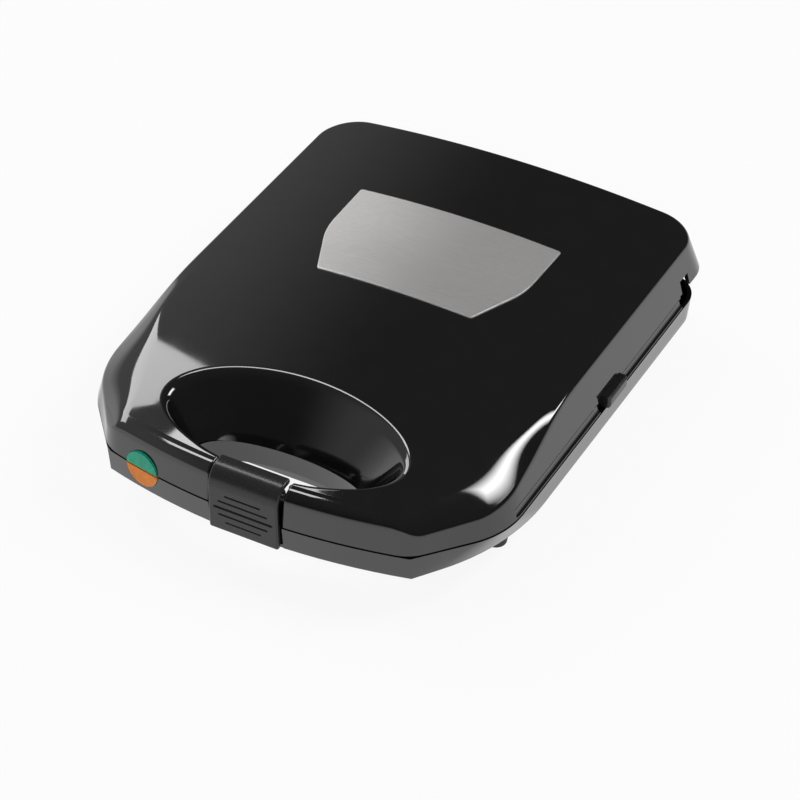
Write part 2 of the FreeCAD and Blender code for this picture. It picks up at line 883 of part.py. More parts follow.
def element_points():
    z = seam_height + element_height
    half = element_half_x
    rear = plate_y + element_half_y
    bend_y = plate_y - element_half_y / 4
    front = plate_y - element_half_y
    tail = seam_height + shield_height + shield_sheet + element_tail
    return [
        Vector(-element_tail_half, rear, tail),
        Vector(-element_tail_half, rear, z),
        Vector(-element_tail_half, bend_y, z),
        Vector(-half, bend_y, z),
        Vector(-half, front, z),
        Vector(half, front, z),
        Vector(half, bend_y, z),
        Vector(element_tail_half, bend_y, z),
        Vector(element_tail_half, rear, z),
        Vector(element_tail_half, rear, tail),
    ]


def heating_element():
    return bent_tube(element_points(), element_radius, element_bend)


def heat_shield(screwed):
    # A thin tray behind the element, with corner tabs that stand on the inner frame.
    low = seam_height + frame_high
    high = seam_height + shield_height

    def tray(inset, bottom, top):
        wires = []
        for z, draft in ((bottom, 0), (top, shield_draft)):
            wires.append(rounded_rectangle(
                shield_half_x - inset - draft,
                plate_y - shield_half_y + inset + draft,
                plate_y + shield_half_y - inset - draft,
                z,
                shield_radius,
            ))
        return Part.makeLoft(wires, True, True)

    body = tray(0, low, high + shield_sheet).cut(tray(shield_sheet, low - shield_sheet, high))
    for x in (-1, 1):
        for y in (-1, 1):
            edge_x = x * (shield_half_x - shield_sheet)
            far_x = x * (plate_half_x - frame_ledge + shield_tab_bite)
            mid_y = plate_y + y * (shield_half_y - shield_tab)
            body = body.fuse(box(min(edge_x, far_x), max(edge_x, far_x), mid_y - shield_tab / 2,
                                 mid_y + shield_tab / 2, low, low + shield_sheet))
    rear = plate_y + element_half_y
    for x in (-element_tail_half, element_tail_half):
        hole = cylinder(element_radius + element_hole_play, Vector(x, rear, low), Vector(0, 0, high))
        body = body.cut(hole)
    for x, y in base_screw_places() if screwed else []:
        body = body.cut(cylinder(screw_radius + screw_play, Vector(x, y, low), Vector(0, 0, high)))
    return largest(body.removeSplitter())


def element_clips():
    # Open clips on the tray that grip the element from behind.
    clips = []
    z = seam_height + element_height
    top = seam_height + shield_height
    inner = element_radius + element_play
    outer = inner + clip_sheet
    for x in (-1, 1):
        y = plate_y - element_half_y
        place = x * element_half_x * clip_share
        left = place - clip_width / 2
        right = left + clip_width
        clip = box(left, right, y - outer, y + outer, z - clip_grip, top)
        room = box(left, right, y - inner, y + inner, z - clip_grip, top - clip_sheet)
        clips.append(clip.cut(room))
    return Part.makeCompound(clips)


def half_lens(upper):
    disc = lens_disc(lens_radius, lens_proud, lens_thickness)
    rim = [edge for edge in disc.Edges if edge.BoundBox.YMax < front_y + lens_thickness]
    disc = disc.makeFillet(lens_proud, rim) if rim else disc
    flange = lens_disc(lens_radius + lens_flange, -wall - lens_seat, lens_thickness)
    disc = disc.fuse(flange)
    low, high = (lid_low, body_width) if upper else (0, base_high)
    return disc.common(box(-body_width, body_width, -body_depth, body_depth, low, high)).removeSplitter()


def indicator_lamp(upper):
    # A small neon lamp behind each half of the lens, lying along the bar.
    offset = lens_radius / 2 + lamp_radius / 4
    z = seam_height + offset if upper else seam_height - offset
    lean = math.asin(lens_x / front_radius)
    along = Vector(math.cos(lean), math.sin(lean), 0)
    outward = Vector(along.y, -along.x, 0)
    depth = lens_thickness + lens_play + lamp_radius
    middle = Vector(0, front_y + front_radius, z) + outward * (front_radius - depth)
    start = middle - along * lamp_length / 2
    glass = cylinder(lamp_radius, start, along * lamp_length)
    ends = [edge for edge in glass.Edges if edge.Curve.TypeId == "Part::GeomCircle"]
    return glass.makeFillet(lamp_radius / 2, ends)


# Hinge pieces

def hinge_ear(side):
    # The base's ear: a round barrel with a web down to the rear wall.
    x0 = side * hinge_centre_x - hinge_ear_width / 2
    ring = cylinder(hinge_barrel_radius, Vector(x0, hinge_y, hinge_z), Vector(hinge_ear_width, 0, 0))
    web_low = base_high - hinge_web_drop
    lean = math.radians(hinge_web_degrees)
    web = side_profile([
        (base_back - wall, web_low),
        (base_back, web_low),
        (hinge_y + hinge_barrel_radius * math.cos(lean), hinge_z - hinge_barrel_radius * math.sin(lean)),
        (hinge_y, hinge_z + hinge_barrel_radius),
        (base_back - wall, hinge_z),
    ], x0, x0 + hinge_ear_width)
    return ring.fuse(web)


def hinge_pin(side):
    reach = hinge_ear_width / 2 + hinge_side_play + hinge_arm_width
    start = Vector(side * hinge_centre_x - reach, hinge_y, hinge_z)
    return cylinder(hinge_pin_radius, start, Vector(2 * reach, 0, 0))


def hinge_arm(side):
    # A fork in the lid that straddles the base's ear.
    middle = side * hinge_centre_x
    plate_low = hinge_z + hinge_plate_rise
    reach = hinge_ear_width / 2 + hinge_side_play + hinge_arm_width
    rear = hinge_y + hinge_barrel_radius / 2
    plate = box(middle - reach, middle + reach, hinge_y - hinge_plate_reach, rear,
                plate_low, plate_low + hinge_plate_thickness)
    pieces = [plate]
    for lug in (-1, 1):
        x0 = middle + lug * (hinge_ear_width / 2 + hinge_side_play)
        x0 = x0 if lug > 0 else x0 - hinge_arm_width
        ring = cylinder(hinge_barrel_radius, Vector(x0, hinge_y, hinge_z), Vector(hinge_arm_width, 0, 0))
        web = box(x0, x0 + hinge_arm_width, hinge_y - hinge_barrel_radius, rear, hinge_z, plate_low)
        pieces.append(ring.fuse(web))
    arm = joined(pieces)
    start = Vector(middle - body_width, hinge_y, hinge_z)
    return arm.cut(cylinder(hinge_pin_radius + hinge_play, start, Vector(2 * body_width, 0, 0)))


# Base

def tub_form(inset):
    wires = []
    for z, draft in ((base_high, 0), (foot_height + inset, tub_draft)):
        wires.append(rounded_rectangle(
            half_width - tub_inset - inset - draft,
            front_y + tub_front_setback + inset + draft,
            base_back - inset - draft,
            z,
            tub_radius - inset,
        ))
    return Part.makeLoft(wires, True, True)


def rim_form(inset):
    low = rim_low + inset
    wires = []
    for z, bend in ((low, low_shoulder), (base_high, seam_shoulder)):
        tuck = base_rim_draft * (base_high - z) / base_rim_height
        wires.append(plan_outline(
            z,
            half_width - inset - tuck,
            front_y + inset + tuck,
            base_back - inset,
            base_back_radius - inset,
            front_corner_half - inset / 2,
            bend,
        ))
    return Part.makeLoft(wires, True, True)


def base_screw_places():
    across = (-base_screw_x, base_screw_x)
    along = (plate_y - base_screw_y, plate_y + base_screw_y)
    return [(x, y) for x in across for y in along]


def foot_places():
    front = front_y + foot_front_setback
    back = back_y - foot_back_setback
    return {
        "foot_front_left": (-foot_x, front),
        "foot_front_right": (foot_x, front),
        "foot_rear_left": (-foot_x, back),
        "foot_rear_right": (foot_x, back),
    }


def base_shell():
    keep = [
        base_opening(wall),
        box(-slot_half - wall, slot_half + wall, front_y, front_y + latch_skin + 2 * wall, 0, base_high),
    ]
    shield_low = seam_height - shield_height - shield_sheet
    for x, y in base_screw_places():
        keep.append(cylinder(screw_boss_radius, Vector(x, y, 0), Vector(0, 0, shield_low)))
    for x, y in frame_screw_places():
        keep.append(cylinder(screw_boss_radius, Vector(x, y, 0), Vector(0, 0, seam_height - frame_high)))
    cavity = rim_form(wall).fuse(tub_form(wall))
    for solid in keep:
        cavity = cavity.cut(solid)
    shell = rim_form(0).fuse(tub_form(0)).removeSplitter()
    shell = shell.cut(base_opening(0)).cut(cavity)
    for side in (-1, 1):
        shell = shell.fuse(hinge_ear(side).cut(rim_form(wall).fuse(tub_form(wall))))
    recess = front_y - latch_proud + latch_skin + latch_play
    cuts = [
        box(-slot_half, slot_half, front_y - overrun, recess, 0, base_high + overrun),
        lens_disc(lens_radius + lens_play, overrun, overrun),
        cylinder(hinge_pin_radius, Vector(-body_width, hinge_y, hinge_z), Vector(2 * body_width, 0, 0)),
        cylinder(gland_radius, gland_place() - gland_outward() * overrun, gland_outward() * (2 * overrun)),
        box(
            -half_width - overrun, -half_width + 2 * wall,
            tab_front - release_travel - tab_play, tab_rear + tab_play,
            seam_height - frame_low - tab_height - tab_play, base_high + overrun,
        ),
    ]
    for x, y in base_screw_places():
        cuts.append(cylinder(screw_radius + screw_play, Vector(x, y, 0), Vector(0, 0, seam_height)))
        cuts.append(cylinder(screw_head_radius + screw_play, Vector(x, y, 0),
                             Vector(0, 0, foot_height + screw_head_height)))
    for x, y in frame_screw_places():
        start = Vector(x, y, seam_height - frame_low)
        cuts.append(cylinder(screw_radius + screw_play, start, Vector(0, 0, -frame_screw_length)))
    for x, y in foot_places().values():
        hole = foot_stem_radius + foot_stem_play
        cuts.append(cylinder(hole, Vector(x, y, 0), Vector(0, 0, seam_height / 2)))
    for cut in cuts:
        shell = shell.cut(cut)
    return largest(shell.removeSplitter())


def foot(place):
    x, y = place
    pad = Part.makeCone(foot_radius - foot_taper, foot_radius, foot_height, Vector(x, y, 0))
    stem = Part.makeCylinder(foot_stem_radius, foot_height + foot_stem_length, Vector(x, y, 0))
    lower = [edge for edge in pad.Edges if edge.BoundBox.ZMax < foot_height / 2]
    return pad.makeFillet(foot_taper / 2, lower).fuse(stem).removeSplitter()


def screw(place, head_low, length):
    x, y = place
    head = cylinder(screw_head_radius, Vector(x, y, head_low), Vector(0, 0, screw_head_height))
    shank = cylinder(screw_radius, Vector(x, y, head_low), Vector(0, 0, length))
    thin = screw_cross_width / 2
    cross = box(x - screw_cross_half, x + screw_cross_half, y - thin, y + thin,
                head_low - screw_cross_depth, head_low + screw_cross_depth)
    turned = cross.copy()
    turned.rotate(Vector(x, y, 0), Vector(0, 0, 1), 90)
    return head.fuse(shank).cut(cross).cut(turned)


def base_screws():
    length = seam_height - shield_height + base_screw_bite - foot_height
    return Part.makeCompound([screw(place, foot_height, length) for place in base_screw_places()])


def frame_screws():
    low = seam_height + frame_low
    return Part.makeCompound([screw(place, low, frame_screw_length) for place in frame_screw_places()])


# Electrical parts

def thermostat():
    floor = seam_height - shield_height
    top = seam_height - pocket_back_height
    place = Vector(thermostat_x, plate_y + thermostat_y, floor)
    body = cylinder(thermostat_radius, place, Vector(0, 0, thermostat_height))
    cap = cylinder(thermostat_cap_radius, place, Vector(0, 0, top - floor - element_play))
    return body.fuse(cap).removeSplitter()


def thermal_fuse():
    floor = seam_height - shield_height
    start = Vector(fuse_x - fuse_length / 2, plate_y + thermostat_y, floor + fuse_radius)
    return cylinder(fuse_radius, start, Vector(fuse_length, 0, 0))


def terminal_block():
    rear = base_back - wall - tub_draft
    low = foot_height + wall
    block = box(-block_length / 2, block_length / 2, rear - block_depth, rear, low, low + block_height)
    for way in range(block_ways):
        x = block_length * (2 * way + 1 - block_ways) / (2 * block_ways)
        top = Vector(x, rear - block_depth / 2, low + block_height)
        block = block.cut(cylinder(block_screw_radius, top, Vector(0, 0, -block_well_depth)))
    return block


def gland_place():
    # On the outside of the tub's sloping rear wall.
    return Vector(gland_x, base_back - (base_high - gland_rise) * math.tan(tub_lean), gland_rise)


def gland_outward():
    return Vector(0, math.cos(tub_lean), -math.sin(tub_lean))


def mains_inlet_gland():
    # A rubber bush: a barrel in the wall, and a flange and a short nose outside it with a narrower bore.
    outward = gland_outward()
    place = gland_place()
    start = place - outward * gland_inner_length
    length = gland_inner_length + gland_flange + gland_nose
    barrel = cylinder(gland_radius, start, outward * gland_inner_length)
    flange = cylinder(gland_flange_radius, place, outward * gland_flange)
    nose = cylinder(gland_nose_radius, place, outward * (gland_flange + gland_nose))
    room = cylinder(gland_inner_bore, start, outward * (gland_inner_length + gland_step))
    bore = cylinder(gland_bore, start, outward * length)
    return barrel.fuse(flange).fuse(nose).cut(room).cut(bore).removeSplitter()


# Latch

def latch_clip():
    outer_y = front_y - latch_proud
    low = rim_low + latch_bottom_rise
    bend = latch_roll_radius
    centre = Vector(-latch_half_width, outer_y + bend, seam_height + front_face_height)
    inner_bend = bend - latch_skin

    def at(radius, degrees):
        angle = math.radians(degrees)
        return centre + Vector(0, -radius * math.cos(angle), radius * math.sin(angle))

    def down(y):
        return Vector(-latch_half_width, y, low)

    lip = Vector(0, latch_lip, 0)
    edges = [
        Part.LineSegment(down(outer_y), at(bend, 0)),
        Part.Arc(at(bend, 0), at(bend, 45), at(bend, 90)),
        Part.LineSegment(at(bend, 90), at(bend, 90) + lip),
        Part.LineSegment(at(bend, 90) + lip, at(inner_bend, 90) + lip),
        Part.LineSegment(at(inner_bend, 90) + lip, at(inner_bend, 90)),
        Part.Arc(at(inner_bend, 90), at(inner_bend, 45), at(inner_bend, 0)),
        Part.LineSegment(at(inner_bend, 0), down(outer_y + latch_skin)),
        Part.LineSegment(down(outer_y + latch_skin), down(outer_y)),
    ]
    start = Vector(-latch_half_width, latch_pivot_y, latch_pivot_z)
    along = Vector(2 * latch_half_width, 0, 0)
    skin = Part.Face(Part.Wire([edge.toShape() for edge in edges])).extrude(along)
    clip = skin.fuse(cylinder(latch_boss_radius, start, along)).cut(
        cylinder(latch_pin_radius + hinge_play, start, along))
    middle = low + latch_groove_rise
    for row, share in enumerate(latch_groove_shares):
        half = latch_half_width * share
        z = middle + (row - 1) * latch_groove_pitch
        groove_y = outer_y + latch_groove_depth
        clip = clip.cut(box(-half, half, outer_y - overrun, groove_y, z, z + latch_groove_height))
    return largest(clip.removeSplitter())


def latch_pin():
    start = Vector(-slot_half - wall, latch_pivot_y, latch_pivot_z)
    return cylinder(latch_pin_radius, start, Vector(2 * (slot_half + wall), 0, 0))


def main():
    os.makedirs("parts", exist_ok=True)
    save("lid_shell", lid_shell())
    save("badge_plate", badge_plate())
    save("lid_inner_frame", inner_frame(1))
    save("base_inner_frame", base_inner_frame())
    save("upper_cooking_plate", cooking_plate(1))
    save("lower_cooking_plate", over_seam(cooking_plate(-1)))
    save("upper_release_slider", release_slider(1))
    save("lower_release_slider", over_seam(release_slider(-1)))
    save("upper_release_spring", release_spring(1))
    save("lower_release_spring", over_seam(release_spring(-1)))
    element = heating_element()
    save("upper_heating_element", element)
    save("lower_heating_element", over_seam(element))
    save("upper_heat_shield", heat_shield(False))
    save("lower_heat_shield", over_seam(heat_shield(True)))
    clips = element_clips()
    save("upper_element_clips", clips)
    save("lower_element_clips", over_seam(clips))
    save("ready_light_lens", half_lens(True))
    save("power_light_lens", half_lens(False))
    save("ready_light_lamp", indicator_lamp(True))
    save("power_light_lamp", indicator_lamp(False))
    save("hinge_arm_left", hinge_arm(-1))
    save("hinge_arm_right", hinge_arm(1))
    save("hinge_pin_left", hinge_pin(-1))
    save("hinge_pin_right", hinge_pin(1))
    save("base_shell", base_shell())
    for name, place in foot_places().items():
        save(name, foot(place))
    save("base_screws", base_screws())
    screws = frame_screws()
    save("lid_frame_screws", screws)
    save("base_frame_screws", over_seam(screws))
    save("thermostat", thermostat())
    save("thermal_fuse", thermal_fuse())
    save("terminal_block", terminal_block())
    save("mains_inlet_gland", mains_inlet_gland())
    save("latch_clip", latch_clip())
    save("latch_pin", latch_pin())


if __name__ == "__main__":
    main()
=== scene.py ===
import math

import bmesh
import bpy
import numpy as np
from mathutils import Matrix, Vector


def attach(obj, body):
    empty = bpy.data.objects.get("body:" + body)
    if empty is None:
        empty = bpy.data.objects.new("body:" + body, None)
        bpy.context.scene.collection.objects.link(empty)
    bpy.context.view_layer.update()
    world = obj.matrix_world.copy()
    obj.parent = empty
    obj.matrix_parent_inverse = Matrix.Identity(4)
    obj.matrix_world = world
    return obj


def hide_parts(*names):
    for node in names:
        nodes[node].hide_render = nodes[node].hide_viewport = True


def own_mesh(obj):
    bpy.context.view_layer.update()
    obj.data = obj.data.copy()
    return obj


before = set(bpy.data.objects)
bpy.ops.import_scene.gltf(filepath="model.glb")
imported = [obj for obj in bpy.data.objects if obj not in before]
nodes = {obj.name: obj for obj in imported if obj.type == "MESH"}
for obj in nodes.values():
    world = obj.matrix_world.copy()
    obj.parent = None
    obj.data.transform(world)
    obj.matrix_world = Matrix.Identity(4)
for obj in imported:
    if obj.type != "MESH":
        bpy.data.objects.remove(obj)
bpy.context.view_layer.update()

MM = 0.001

# Sizes of the body, in millimetres
HALF_WIDTH = 130.0
DEPTH = 324.0
SEAM = 40.0
GAP = 1.2
WALL = 2.6
BASE_RIM = 15.0
FRONT_CORNER = 94.0
FRONT_BOW = 12.0
CORNER_ROUND = 8.0
SHOULDER_RADIUS = 50.0
SHOULDER_SETBACK = 72.0
BACK_RADIUS = 23.0
SIDE_HEIGHT = 30.3
CROWN = 10.0
SIDE_DRAFT = 8.0
FRONT_DRAFT = 3.0
BACK_DRAFT = 7.0
REAR_LIFT = 8.3
SLOPE_START = 147.0
SLOPE_RADIUS = 576.0

# The rounded upper edge of the front bar
FACE_HEIGHT = 13.0
ROLL_RADIUS = 9.5
ROLL_RUN = 9.0
ROLL_CLIMB = 3.6
ROLL_OVERLAP = 0.15
ROLL_DROP = 50.0
ROLL_BLEND = 2.5

# The sloping facets at the front corners; each row has the share of the length, width and fall
FACET_LENGTH = 125.0
FACET_REAR = 136.0
FACET_WIDTH = 29.5
FACET_FALL = 7.7
FACET_LEAST = 9.0
FACET_POWER = 1.7
FACET_SHARES = [
    (0.0, 0.0, 0.0), (0.15, 0.14, 0.58), (0.35, 0.48, 0.93), (0.60, 1.0, 1.0),
    (0.78, 0.83, 0.97), (0.92, 0.37, 0.86), (1.0, 0.0, 0.77), (1.25, 0.0, 0.60),
]
FACET_STEP = 0.25
FACET_MARGIN = 60.0
FACET_EASE_X = 5.0
FACET_EASE_WIDE = 13.0
FACET_EASE_DEEP = 10.0
EASE_SPAN = 4

# The handle opening and its lip; the lip's width goes by the angle round the opening
OPEN_HALF_WIDTH = 52.0
OPEN_HALF_DEPTH = 20.0
OPEN_SETBACK = 36.5
OPEN_TILT = math.radians(10.0)
FLARE_WIDTH = 0.74
FLARE_DEPTH = 0.42
FLARE_BACK = 0.27
MOUTH_RISE = 29.7
LIP_IN = 4.2
LIP_OUT = (2.6, 3.2, 4.0)
LIP_ANGLES = (-math.pi / 2, -0.5, 0.6)
COLLAR_DROP = 4.0

# The lid's upper edge, its inside and the solid behind the latch
EDGE_ROUND = 1.8
EDGE_DROP = 1.7
INSIDE_DROP = 3.4
INSIDE_EASE = 0.12
SOLID_HALF = 26.2
SOLID_FADE = 1.2
SOLID_SKIN = 0.2

# Cuts in the lid
SLOT_HALF = 22.75
SLOT_NARROWING = 1.1
SLOT_DEPTH = 11.2
SLOT_FLOOR = 12.0
SLOT_TOP = 20.5
SLOT_ROUND = 1.3
SLOT_OVERLAP = 0.05
BAR_SETBACK = 9.0
NOTCH_SETBACK = 44.0
NOTCH_LENGTH = 10.0
NOTCH_HEIGHT = 15.2
NOTCH_OVERLAP = 0.5
STEP_LENGTH = 3.0
STEP_HEIGHT = 7.5
SIDE_GROOVE_RISE = 4.8
SIDE_GROOVE_RADIUS = 4.0
SIDE_GROOVE_DEPTH = 1.3
SIDE_GROOVE_START = 66.0
SIDE_GROOVE_STOP = 2.5
TAB_SETBACK = 173.0
TAB_LENGTH = 23.0
TAB_PLAY = 0.5
TAB_ROOM_DEPTH = 16.0
TAB_ROOM_HEIGHT = 9.0
RELEASE_TRAVEL = 5.0
LENS_X = -68.0
LENS_HOLE = 11.15

# The latch; each groove has a share of the latch's width and a height
LATCH_HALF = 21.4
LATCH_PROUD = 1.5
LATCH_SKIN = 3.4
LATCH_BEND = 11.5
LATCH_LIP = 3.8
LATCH_LIFT = 0.4
LATCH_ROUND = 1.2
LATCH_GROOVES = [(0.52, 1.0), (0.72, 1.15), (0.86, 1.5), (0.72, 1.15), (0.52, 1.3)]
GROOVE_START = 6.55
GROOVE_PITCH = 4.6
GROOVE_DEPTH = 0.9
GROOVE_FLANK = 0.3
PIN_SETBACK = 6.5
PIN_RISE = 16.3
BOSS_HALF = 20.2
BOSS_RADIUS = 4.2
BOSS_BORE = 2.1
BOSS_CHAMFER = 0.3

# The bare metal plate
BADGE_SETBACK = 78.0
BADGE_DEPTH = 81.0
BADGE_FRONT_HALF = 49.2
BADGE_KNEE_HALF = 64.8
BADGE_BACK_HALF = 65.6
BADGE_KNEE_SHARE = 0.54
BADGE_CORNER = 1.6
BADGE_KNEE_ROUND = 11.0
BADGE_THICK = 0.8
BADGE_EDGE = 0.45
BADGE_FIELD = 1.0
BADGE_LEAST = 1 / 6
BADGE_FLAT = 44.0
BADGE_SPACING = 2.0

# Places worked out from the sizes
FRONT = (LATCH_PROUD + BACK_DRAFT * REAR_LIFT / SIDE_HEIGHT - DEPTH) / 2
BACK = FRONT + DEPTH
LID_LOW = SEAM + GAP / 2
RIM_LOW = SEAM - GAP / 2 - BASE_RIM
TOP_EDGE = SEAM + SIDE_HEIGHT
OPEN_Y = FRONT + OPEN_SETBACK
BOW_RADIUS = (FRONT_CORNER ** 2 + FRONT_BOW ** 2) / (2 * FRONT_BOW)
TAB_FRONT = FRONT + TAB_SETBACK
TAB_REAR = TAB_FRONT + TAB_LENGTH
NOTCH_Y = BACK - NOTCH_SETBACK

# Points along each stretch of the lid's outline, from the back's middle to the front bar
BACK_POINTS = 25
BACK_TURN_POINTS = 16
SIDE_POINTS = 61
SHOULDER_POINTS = 14
RUN_POINTS = 19
CORNER_POINTS = 11
BAR_POINTS = 26
MIDDLE_POINTS = 11

# Rows of the lid's skin, outside and inside
FUNNEL_ROWS = 14
LIP_ROWS = 12
TOP_ROWS = 90
EDGE_ROWS = 9
WALL_ROWS = 14
OUTER_ROWS = FUNNEL_ROWS + LIP_ROWS + TOP_ROWS + EDGE_ROWS + WALL_ROWS
TOP_CROWDING = 1.7
INNER_WALL_ROWS = 6
INNER_TOP_ROWS = 18
INNER_FUNNEL_ROWS = 6

# Points of the latch and the metal plate
LATCH_COLUMNS = 150
LATCH_POINTS = 210
LATCH_MARGIN = 0.02
LATCH_END = 0.03
LATCH_END_POINTS = 7
LATCH_ROUND_POINTS = 9
STEP_DECIMALS = 6
BOSS_SIDES = 48
BADGE_FLAT_POINTS = 29
BADGE_CORNER_POINTS = 8
BADGE_KNEE_POINTS = 20
BADGE_BACK_POINTS = 34
BADGE_EDGE_ROWS = 6
BADGE_FIELD_ROWS = 22

# Columns of the front bar: places from the latch slot's edge, closer together near it, then the middle's
SLOT_EDGE_STEPS = (
    4.25, 3.25, 2.45, 1.85, 1.45, 1.15, 0.90, 0.65, 0.45, 0.25, 0.10, -0.03, -0.25, -0.75, -1.75,
)
MIDDLE_HALF = 20.0
BAR_STRETCH = 40.0

# Places across the front bar, and the places across the opening that their columns run to
BAR_PLACES = (0.0, 30.0, 86.0)
OPENING_PLACES = (0.0, 30.0, 54.0)
TAIL_GAP = 1.03

# Where the lid's heights are looked for, and the small steps that give a direction
OUTLINE_LOW = 36.0
OUTLINE_HIGH = 86.0
OUTLINE_LEVELS = 26
EDGE_RANGE = (46.0, 84.0)
MOUTH_RANGE = (12.0, 60.0)
FOOT_RANGE = (-12.0, 20.0)
EDGE_IN_RANGE = (0.0, 3.0)
SOLVE_ROUNDS = 40
BRIDGE_REACH = 0.38
LIP_NUDGE = 0.05
EDGE_NUDGE = 0.03
WALL_NUDGE = 0.5
SLIGHT = 0.001
TINY = 1e-9

# Reach of the cutters past the lid; the stagger keeps the ends of overlapping cutters apart
FAR_SIDE = 150.0
FAR_LOW = 10.0
FAR_HIGH = 95.0
OVERRUN = 20.0
STAGGER = 1.0
LENS_SIDES = 72
SIDE_GROOVE_SIDES = 64

# Angles above which an edge is shaded sharp, in degrees
LID_CREASE = 27
LATCH_CREASE = 38
BADGE_CREASE = 40
CAD_CREASE = 30
WELDS_PER_METRE = 1e6
UPRIGHT = 0.9


# Meshes

def new_object(name, vertices, faces):
    mesh = bpy.data.meshes.new(name)
    mesh.from_pydata([tuple(v) for v in np.asarray(vertices) * MM], [], faces)
    mesh.update()
    made = bpy.data.objects.new(name, mesh)
    bpy.context.scene.collection.objects.link(made)
    form = bmesh.new()
    form.from_mesh(mesh)
    bmesh.ops.recalc_face_normals(form, faces=form.faces)
    form.to_mesh(mesh)
    form.free()
    return made


def smooth(obj, degrees):
    mesh = obj.data
    mesh.polygons.foreach_set("use_smooth", np.ones(len(mesh.polygons), bool))
    mesh.set_sharp_from_angle(angle=math.radians(degrees))


def band(first, second, around):
    """Faces between two rows of points that run round; each row is given by its first point."""
    faces = []
    for j in range(around):
        n = (j + 1) % around
        faces.append((first + j, first + n, second + n, second + j))
    return faces


def closed_grid(name, rows):
    """A closed skin from rows of points; both the rows and the points in a row run round to their start."""
    rows = np.asarray(rows)
    count, around = rows.shape[:2]
    faces = []
    for i in range(count):
        faces += band(i * around, (i + 1) % count * around, around)
    return new_object(name, rows.reshape(-1, 3), faces)


def capped_grid(name, rows):
    """A closed skin from rows of points that run round, with a face across each end."""
    rows = np.asarray(rows)
    count, around = rows.shape[:2]
    faces = [tuple(range(around)), tuple(range((count - 1) * around, count * around))]
    for i in range(count - 1):
        faces += band(i * around, (i + 1) * around, around)
    return new_object(name, rows.reshape(-1, 3), faces)


def block(x0, x1, y0, y1, z0, z1):
    points = [(x, y, z) for x in (x0, x1) for y in (y0, y1) for z in (z0, z1)]
    faces = [(0, 1, 3, 2), (4, 6, 7, 5), (0, 4, 5, 1), (2, 3, 7, 6), (0, 2, 6, 4), (1, 5, 7, 3)]
    return new_object("cut", points, faces)


def rod(start, end, radius, sides):
    start, end = np.array(start, float), np.array(end, float)
    along = (end - start) / np.linalg.norm(end - start)
    across = np.cross(along, (0.0, 0.0, 1.0) if abs(along[2]) < UPRIGHT else (1.0, 0.0, 0.0))
    across /= np.linalg.norm(across)
    other = np.cross(along, across)
    angles = np.linspace(0, 2 * math.pi, sides, endpoint=False)
    ring = np.outer(np.cos(angles), across) + np.outer(np.sin(angles), other)
    points = np.vstack([start + ring * radius, end + ring * radius])
    faces = band(0, sides, sides)
    faces += [tuple(reversed(range(sides))), tuple(range(sides, 2 * sides))]
    return new_object("cut", points, faces)


def cut_away(obj, cutters):
    group = bpy.data.collections.new("cutters")
    bpy.context.scene.collection.children.link(group)
    for cutter in cutters:
        bpy.context.scene.collection.objects.unlink(cutter)
        group.objects.link(cutter)
    change = obj.modifiers.new("cut", "BOOLEAN")
    change.operation = "DIFFERENCE"
    change.solver = "EXACT"
    change.operand_type = "COLLECTION"
    change.collection = group
    bpy.context.view_layer.update()
    depsgraph = bpy.context.evaluated_depsgraph_get()
    mesh = bpy.data.meshes.new_from_object(obj.evaluated_get(depsgraph))
    obj.modifiers.remove(change)
    obj.data = mesh
    for cutter in cutters:
        bpy.data.objects.remove(cutter)
    bpy.data.collections.remove(group)


def smooth_cad(obj, degrees):
    """Even shading on a CAD mesh, whose corners meet in place without being joined."""
    mesh = obj.data
    places = np.zeros(len(mesh.vertices) * 3)
    mesh.vertices.foreach_get("co", places)
    places = places.reshape(-1, 3)
    rounded = np.round(places * WELDS_PER_METRE)
    _, first, joined = np.unique(rounded, axis=0, return_index=True, return_inverse=True)
    joined = joined.reshape(-1)
    faces = [tuple(int(joined[v]) for v in p.vertices) for p in mesh.polygons]
    copy = bpy.data.meshes.new("even")
    copy.from_pydata([tuple(p) for p in places[first]], [], faces)
    copy.polygons.foreach_set("use_smooth", np.ones(len(faces), bool))
    copy.set_sharp_from_angle(angle=math.radians(degrees))
    normals = np.zeros(len(copy.loops) * 3)
    copy.corner_normals.foreach_get("vector", normals)
    mesh.polygons.foreach_set("use_smooth", np.ones(len(faces), bool))
    if len(copy.loops) == len(mesh.loops):
        mesh.normals_split_custom_set(normals.reshape(-1, 3).tolist())
    bpy.data.meshes.remove(copy)


# Curves

def spaced(start, end, count):
    """Evenly spaced values that stop one step short of the end."""
    return np.linspace(start, end, count, endpoint=False)


def turned(angle):
    return np.array([math.cos(angle), math.sin(angle)])


def rounded_corner(start, corner, end, shares):
    """Points of a curve that leaves and meets the two sides of a corner."""
    return [start * (1 - t) ** 2 + corner * 2 * t * (1 - t) + end * t ** 2 for t in shares]


def unit(vectors):
    return vectors / np.maximum(TINY, np.linalg.norm(vectors, axis=-1, keepdims=True))


def bridge(start, start_way, end, end_way, count):
    """Rows of a smooth turn between two points, along each one's own direction."""
    reach = np.linalg.norm(end - start, axis=-1, keepdims=True) * BRIDGE_REACH
    one, two = start + start_way * reach, end - end_way * reach
    rows = []
    for t in np.linspace(0, 1, count):
        near = start * (1 - t) ** 3 + one * 3 * t * (1 - t) ** 2
        rows.append(near + two * 3 * t * t * (1 - t) + end * t ** 3)
    return rows


def solve(count, span, test):
    """Where a falling test crosses zero within the span, for each of a number of columns."""
    low, high = np.full(count, span[0]), np.full(count, span[1])
    for _ in range(SOLVE_ROUNDS):
        middle = (low + high) / 2
        inside = test(middle) > 0
        low, high = np.where(inside, middle, low), np.where(inside, high, middle)
    return (low + high) / 2


# The lid's outline

